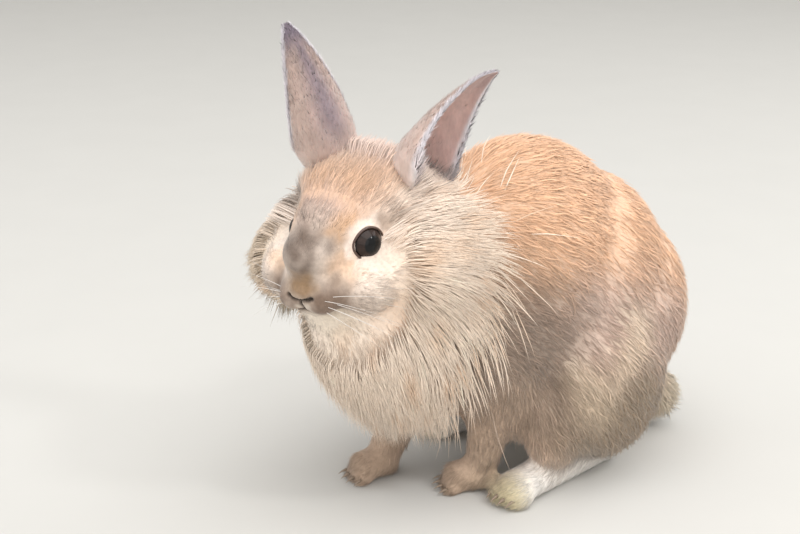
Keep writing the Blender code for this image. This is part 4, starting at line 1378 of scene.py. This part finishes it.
class RABBIT_OT_leg_coat(bpy.types.Operator):
    """Covers forelegs and feet with short tufts"""

    bl_idname = "rabbit.leg_coat"
    bl_label = "Leg coat"

    def execute(self, context):
        kinds = {"forelegs": ("foreleg", "paw"), "hind_feet": ("foot",)}
        for salt, (name, groups) in enumerate(kinds.items()):
            coat_piece(f"coat_{name}", LEGS_MIDDLE, lambda points, share: group_share(share, *groups),
                       30 + salt, 2.4, 0.3, UNDER_LAYER, 1)
        return {"FINISHED"}


class RABBIT_OT_head_coat(bpy.types.Operator):
    """Covers the face and the roots of the mane with short fine tufts"""

    bl_idname = "rabbit.head_coat"
    bl_label = "Head coat"

    def execute(self, context):
        coat_piece("coat_face", HEAD_PLACE, short_haired, 40, 2.6, 0.3, FACE_LAYER, 1)
        coat_piece("coat_throat", from_head(MANE_MIDDLE), long_haired, 41, 3.6, 0.15,
                   THROAT_LAYER, 1)
        return {"FINISHED"}


def long_share(points):
    """How long the head's hair is, from 0 on the face and brow to 1 on the cheeks and mane."""
    local = in_head(points)
    brow = ramp(local[:, 2], -2, 12) * (1 - ramp(local[:, 1], 18, 32))
    return ramp(hair_reach(local), 8, 16) * (1 - brow)


def short_haired(points, share):
    """Where the head's hair is short enough for single straight tufts."""
    return group_share(share, "head", "mane") * (1 - 0.8 * long_share(points))


def long_haired(points, share):
    """Where the head's and mane's hair is long."""
    return group_share(share, "head", "mane") * long_share(points)


class RABBIT_OT_tail_coat(bpy.types.Operator):
    """Covers the tail with fluffy tufts"""

    bl_idname = "rabbit.tail_coat"
    bl_label = "Tail coat"

    def execute(self, context):
        coat_piece("coat_tail", TAIL_MIDDLE, lambda points, share: group_share(share, "tail"),
                   50, 3.4, 0.3)
        return {"FINISHED"}


# The mane: how many steps a strand grows in, how much it keeps its own way at each of them, and
# the middle of the mane in the head's own frame.
MANE_ROWS = 3
MANE_STIFFNESS = 0.55
MANE_MIDDLE = (5, 8, -30)


def grown_strands(roots, normals, flow, length, lift, salt):
    """Paths of long strands, grown step by step: each step heads between its own way and the
    flow, falls a little, and is kept out of the flesh along the way out of it."""
    draw = chance(salt)
    way = unit(flow - normals * dot(flow, normals) + normals * lift)
    here = roots - normals * 0.6
    path = [here]
    sway = draw.normal(0, 0.12, roots.shape)
    for step in range(MANE_ROWS):
        share = (step + 1) / MANE_ROWS
        fallen = flow + sway + np.array([0, 0, -0.25]) * share
        way = unit(way * MANE_STIFFNESS + fallen * (1 - MANE_STIFFNESS))
        here = here + way * (length / MANE_ROWS)[:, None]
        away, out, _ = flesh_near(here)
        least = -1.5 + 2.4 * share
        here = here + out * np.clip(least - away, 0, 6)[:, None]
        path.append(here)
    return np.stack(path, 1)


class RABBIT_OT_mane(bpy.types.Operator):
    """Grows the ruff, bib and crown as long overlapping strands"""

    bl_idname = "rabbit.mane"
    bl_label = "Mane"

    def execute(self, context):
        points, triangles, normals, share, room, _ = skin_surface()
        zone = long_haired(points, share) * room
        expected = areas(points, triangles) * zone[triangles].mean(1)
        zone = zone * sizes().mane_count / expected.sum()
        corners, weights = scattered(points, triangles, zone, 60)
        roots = mixed(points, corners, weights)
        normal = unit(mixed(normals, corners, weights))
        share = mixed(share, corners, weights)
        share[:, GROUPS.index("mane")] += share[:, GROUPS.index("trunk")]
        share[:, GROUPS.index("trunk")] = 0
        draw = chance(61)
        local = in_head(roots)
        number, centre = clumps(roots, 5.5, 62)
        flow = mane_flow(local) @ HEAD_AXES.T
        flow = unit(flow + wave_vectors(centre, 18, 63) * 0.2)
        length = hair_reach(local) * draw.uniform(0.5, 1.02, len(roots))
        lift = 0.14 + 0.06 * draw.normal(size=(len(roots), 1))
        paths = grown_strands(roots, normal, flow, length, np.clip(lift, 0.02, 1), 64)
        s = (np.arange(MANE_ROWS + 1) / MANE_ROWS)[None, :, None]
        draw_in = (centre - roots) * 0.25
        paths = paths + draw_in[:, None] * s**1.5
        paths[..., 2] = np.maximum(paths[..., 2], 0.5)
        width = 0.55 * draw.uniform(0.6, 1.4, len(roots))
        tone = markings(roots, share)
        clump_tone = draw.normal(1, 0.04, number.max() + 1)[number]
        tone = tone * (clump_tone * draw.normal(1, 0.06, len(roots)))[:, None]
        parts = {
            "mane_left": (local[:, 0] >= 0) & (local[:, 2] > -34),
            "mane_right": (local[:, 0] < 0) & (local[:, 2] > -34),
            "mane_bib_left": (local[:, 0] >= 8) & (local[:, 2] <= -34),
            "mane_bib_right": (local[:, 0] < 8) & (local[:, 2] <= -34),
        }
        for name, chosen in parts.items():
            strand_piece(name, paths[chosen], normal[chosen], width[chosen], tone[chosen],
                         roots[chosen], from_head(MANE_MIDDLE), 0.94, 0.3)
        return {"FINISHED"}


# The ears' hair: how many hairs an ear has, and the shares of them on its rim and its back.
EAR_HAIRS = 11000
RIM_SHARE = 0.28
BACK_SHARE = 0.72


class RABBIT_OT_ear_coat(bpy.types.Operator):
    """Covers the ears with velvet tufts, with longer pale hairs on their rims"""

    bl_idname = "rabbit.ear_coat"
    bl_label = "Ear coat"

    def execute(self, context):
        for salt, side in enumerate(SIDES):
            draw = chance(70 + salt)
            count = EAR_HAIRS
            share = draw.uniform(0.02, 0.985, count) ** 0.85
            turn = draw.uniform(-1, 1, count)
            rim = draw.uniform(size=count) < RIM_SHARE
            turn = np.where(rim, np.sign(turn) * (1 - np.abs(draw.normal(0, 0.02, count))), turn)
            outer = np.where(draw.uniform(size=count) < BACK_SHARE, 1.0, -1.0)
            wall = sizes().ear_wall / MM
            points, spoke, way = ear_places(side, share, turn, outer * wall * 0.35)
            normal = spoke * outer[:, None]
            edge = np.cross(way, spoke) * np.sign(turn)[:, None]
            lie = unit(way + draw.normal(0, 0.12, way.shape) + np.where(rim, 0.35, 0)[:, None] * edge)
            low = 1 - ramp(share, 0.1, 0.42)
            thin = 1 - 0.45 * ramp(share, 0.8, 0.97)
            length = (3.8 + 6 * low + np.where(rim, 1.0 + 3 * low, 0)) * thin
            paths = combed(points, normal, lie, length, np.full(count, 11.0), 0, points, 1, 72 + salt)
            tone = ear_tones(side, share, turn, outer, points)
            tone = tone * draw.normal(1, 0.12, (count, 1))
            width = 0.48 * draw.uniform(0.7, 1.4, count)
            strand_piece(f"ear_hair_{side}", paths, normal, width, tone, points,
                         ear_axis(side, np.array(0.4)), 0.94)
        return {"FINISHED"}


# Whiskers on each side, and each kind of claw as (distance ahead of the toe's middle, height over
# it, length, radius).
WHISKERS = 12
FORE_CLAW = (4.6, 0.6, 4.4, 0.9)
HIND_CLAW = (6.4, 0.8, 5.2, 1.1)


def whisker(side, k):
    """A whisker as a tapered tube on an arc that leaves the pad sideways and sags to its tip."""
    draw = chance(90 + k + (50 if side == "left" else 0))
    row, spot = divmod(k, 4)
    root = np.array([11.5 - row * 1.1, -33 + spot * 3.0, -12 - row * 2.6])
    out = np.array([0.9, 0.02 + 0.2 * spot, 0.1 - 0.24 * row]) + draw.normal(0, 0.06, 3)
    length = sizes().whisker_length / MM * (0.55 + 0.12 * spot) * draw.uniform(0.85, 1.1)
    s = np.linspace(0, 1, 14)[:, None]
    line = root + unit(out) * length * s + np.array([0, 0.25, -0.42]) * length * s**2 * 0.6
    line = line * (1 if side == "left" else -1, 1, 1)
    path = from_head(line)
    way = unit(np.gradient(path, axis=0))
    first = unit(np.cross(way, (0, 0, 1)))
    second = np.cross(first, way)
    radius = 0.14 * (1 - 0.85 * s[:, 0])
    points, triangles = tube(path, first, second, radius, 5)
    return points, outward_faces(points, triangles, path.mean(0))


def claw(toe, heading, kind):
    """A claw as a cone whose centre line curves down: forward s, down 0.35 s squared."""
    ahead, high, length, radius = kind
    s = np.linspace(0, 1, 9)[:, None]
    forward = np.array([math.sin(heading), -math.cos(heading), 0])
    root = toe + forward * ahead + (0, 0, high)
    path = root + forward * length * s + np.array([0, 0, -1]) * length * 0.35 * s**2
    way = unit(np.gradient(path, axis=0))
    across = unit(np.cross(way, (0, 0, 1)))
    points, triangles = tube(path, across, np.cross(across, way), radius * (1 - 0.93 * s[:, 0]), 10)
    return points, outward_faces(points, triangles, path.mean(0))


def joined(shapes):
    """Several shapes as one: their points one after another, triangles renumbered."""
    starts = np.cumsum([0] + [len(points) for points, _ in shapes[:-1]])
    points = np.vstack([points for points, _ in shapes])
    return points, np.vstack([faces + start for (_, faces), start in zip(shapes, starts)])


class RABBIT_OT_whiskers(bpy.types.Operator):
    """Adds the whiskers in three rows on each pad"""

    bl_idname = "rabbit.whiskers"
    bl_label = "Whiskers"

    def execute(self, context):
        for side in SIDES:
            points, triangles = joined([whisker(side, k) for k in range(WHISKERS)])
            mesh = mesh_of(f"whiskers_{side}", points, triangles)
            piece_of(f"whiskers_{side}", mesh, "whisker_hair")
        return {"FINISHED"}


class RABBIT_OT_claws(bpy.types.Operator):
    """Adds the claws of all four feet"""

    bl_idname = "rabbit.claws"
    bl_label = "Claws"

    def execute(self, context):
        shapes = []
        for side in SIDES:
            for place, heading, toe in forepaw_toes(side)[0]:
                shapes.append(claw(place, heading + math.radians(toe * 6), FORE_CLAW))
            for place, turn in hind_toes(side)[0]:
                shapes.append(claw(place, math.radians(turn), HIND_CLAW))
        points, triangles = joined(shapes)
        points[:, 2] = np.maximum(points[:, 2], 0.2)
        piece_of("claws", mesh_of("claws", points, triangles), "claw_horn")
        return {"FINISHED"}


# The stage.
CAMERA_PLACE = (503, -342, 321)
CAMERA_AZIMUTH = 62
CAMERA_PITCH = 20
CAMERA_LENS = 58.5


def studio_sweep():
    """A floor that curves up behind: flat, then a quarter circle of one metre, then a wall."""
    turn = math.radians(CAMERA_AZIMUTH)
    back = np.array([-math.sin(turn), math.cos(turn), 0])
    across = np.array([math.cos(turn), math.sin(turn), 0])
    rows, columns = 120, 3
    along = np.linspace(-3000, 5500, rows)
    bend, radius = 1700, 1000
    angle = np.clip((along - bend) / radius, 0, math.pi / 2)
    run = np.where(along < bend, along, bend + radius * np.sin(angle))
    rise = np.where(along < bend, 0, radius * (1 - np.cos(angle)))
    rise = rise + np.maximum(along - bend - radius * math.pi / 2, 0)
    wide = np.linspace(-4000, 4000, columns)
    points = run[:, None, None] * back + wide[None, :, None] * across + rise[:, None, None] * (0, 0, 1)
    triangles = grid_triangles(rows, columns, columns_close=False)
    return points.reshape(-1, 3), triangles[:, ::-1]


# Soft lights as (place in metres from the rabbit, diameter in metres, power in watts).
LIGHTS = {
    "key": ((0.45, -0.1, 1.7), 2.0, 22),
    "fill": ((1.5, -1.0, 0.7), 2.0, 8),
    "front": ((-0.5, -1.4, 0.5), 2.0, 7),
    "rim": ((0.1, 1.4, 1.0), 1.2, 6),
    "catch": ((0.72, 0.38, 0.88), 0.16, 2.4),
}


def area_light(name, place, target, size, power):
    light = bpy.data.lights.new(name, "AREA")
    light.shape = "DISK"
    light.size = size
    light.energy = power
    made = bpy.data.objects.new(name, light)
    made.location = Vector(place)
    made.rotation_euler = (Vector(target) - Vector(place)).to_track_quat("-Z", "Y").to_euler()
    bpy.context.scene.collection.objects.link(made)


class RABBIT_OT_stage(bpy.types.Operator):
    """Sets the pale floor, the soft lights and the camera"""

    bl_idname = "rabbit.stage"
    bl_label = "Stage"

    def execute(self, context):
        scene = context.scene
        points, triangles = studio_sweep()
        floor = bpy.data.objects.new("studio_floor", mesh_of("studio_floor", points, triangles))
        floor.data.materials.append(finish("matt_studio_paper"))
        scene.collection.objects.link(floor)
        centre = ORIGIN + np.array([0, -20, 100]) * MM
        for name, (place, size, power) in LIGHTS.items():
            area_light(name, centre + place, centre, size, power)
        world = scene.world or bpy.data.worlds.new("studio_air")
        scene.world = world
        world.use_nodes = True
        shade = world.node_tree.nodes.get("Background")
        shade.inputs["Color"].default_value = (1, 1, 1, 1)
        shade.inputs["Strength"].default_value = 0.8
        scene.view_settings.view_transform = "Standard"
        camera = bpy.data.cameras.new("camera")
        camera.lens = CAMERA_LENS
        camera.sensor_width = 36
        camera.clip_start = 0.01
        made = bpy.data.objects.new("camera", camera)
        made.location = Vector(np.array(CAMERA_PLACE) * MM + ORIGIN)
        turn, pitch = math.radians(CAMERA_AZIMUTH), math.radians(CAMERA_PITCH)
        level = math.cos(pitch)
        look = Vector((-math.sin(turn) * level, math.cos(turn) * level, -math.sin(pitch)))
        made.rotation_euler = look.to_track_quat("-Z", "Y").to_euler()
        scene.collection.objects.link(made)
        scene.camera = made
        return {"FINISHED"}


OPERATORS = (
    RABBIT_OT_stage, RABBIT_OT_skin, RABBIT_OT_ears, RABBIT_OT_eyes, RABBIT_OT_trunk_coat,
    RABBIT_OT_leg_coat, RABBIT_OT_head_coat, RABBIT_OT_tail_coat, RABBIT_OT_mane,
    RABBIT_OT_ear_coat, RABBIT_OT_whiskers, RABBIT_OT_claws,
)


class RABBIT_PT_sidebar(bpy.types.Panel):
    """Lists the steps that build the rabbit, and its sizes and colours"""

    bl_label = "Lionhead rabbit"
    bl_idname = "RABBIT_PT_sidebar"
    bl_space_type = "VIEW_3D"
    bl_region_type = "UI"
    bl_category = "Rabbit"

    def draw(self, context):
        for operator in OPERATORS:
            self.layout.operator(operator.bl_idname)
        for group in (context.scene.rabbit_sizes, context.scene.rabbit_colours):
            for name in group.bl_rna.properties.keys():
                if name not in ("rna_type", "name"):
                    self.layout.prop(group, name)


CLASSES = (RabbitSizes, RabbitColours, *OPERATORS, RABBIT_PT_sidebar)


def register():
    for kind in CLASSES:
        bpy.utils.register_class(kind)
    bpy.types.Scene.rabbit_sizes = bpy.props.PointerProperty(type=RabbitSizes)
    bpy.types.Scene.rabbit_colours = bpy.props.PointerProperty(type=RabbitColours)


def unregister():
    del bpy.types.Scene.rabbit_sizes
    del bpy.types.Scene.rabbit_colours
    for kind in reversed(CLASSES):
        bpy.utils.unregister_class(kind)


def main():
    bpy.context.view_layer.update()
    register()
    for operator in OPERATORS:
        group, name = operator.bl_idname.split(".")
        getattr(getattr(bpy.ops, group), name)()


if __name__ == "__main__":
    main()
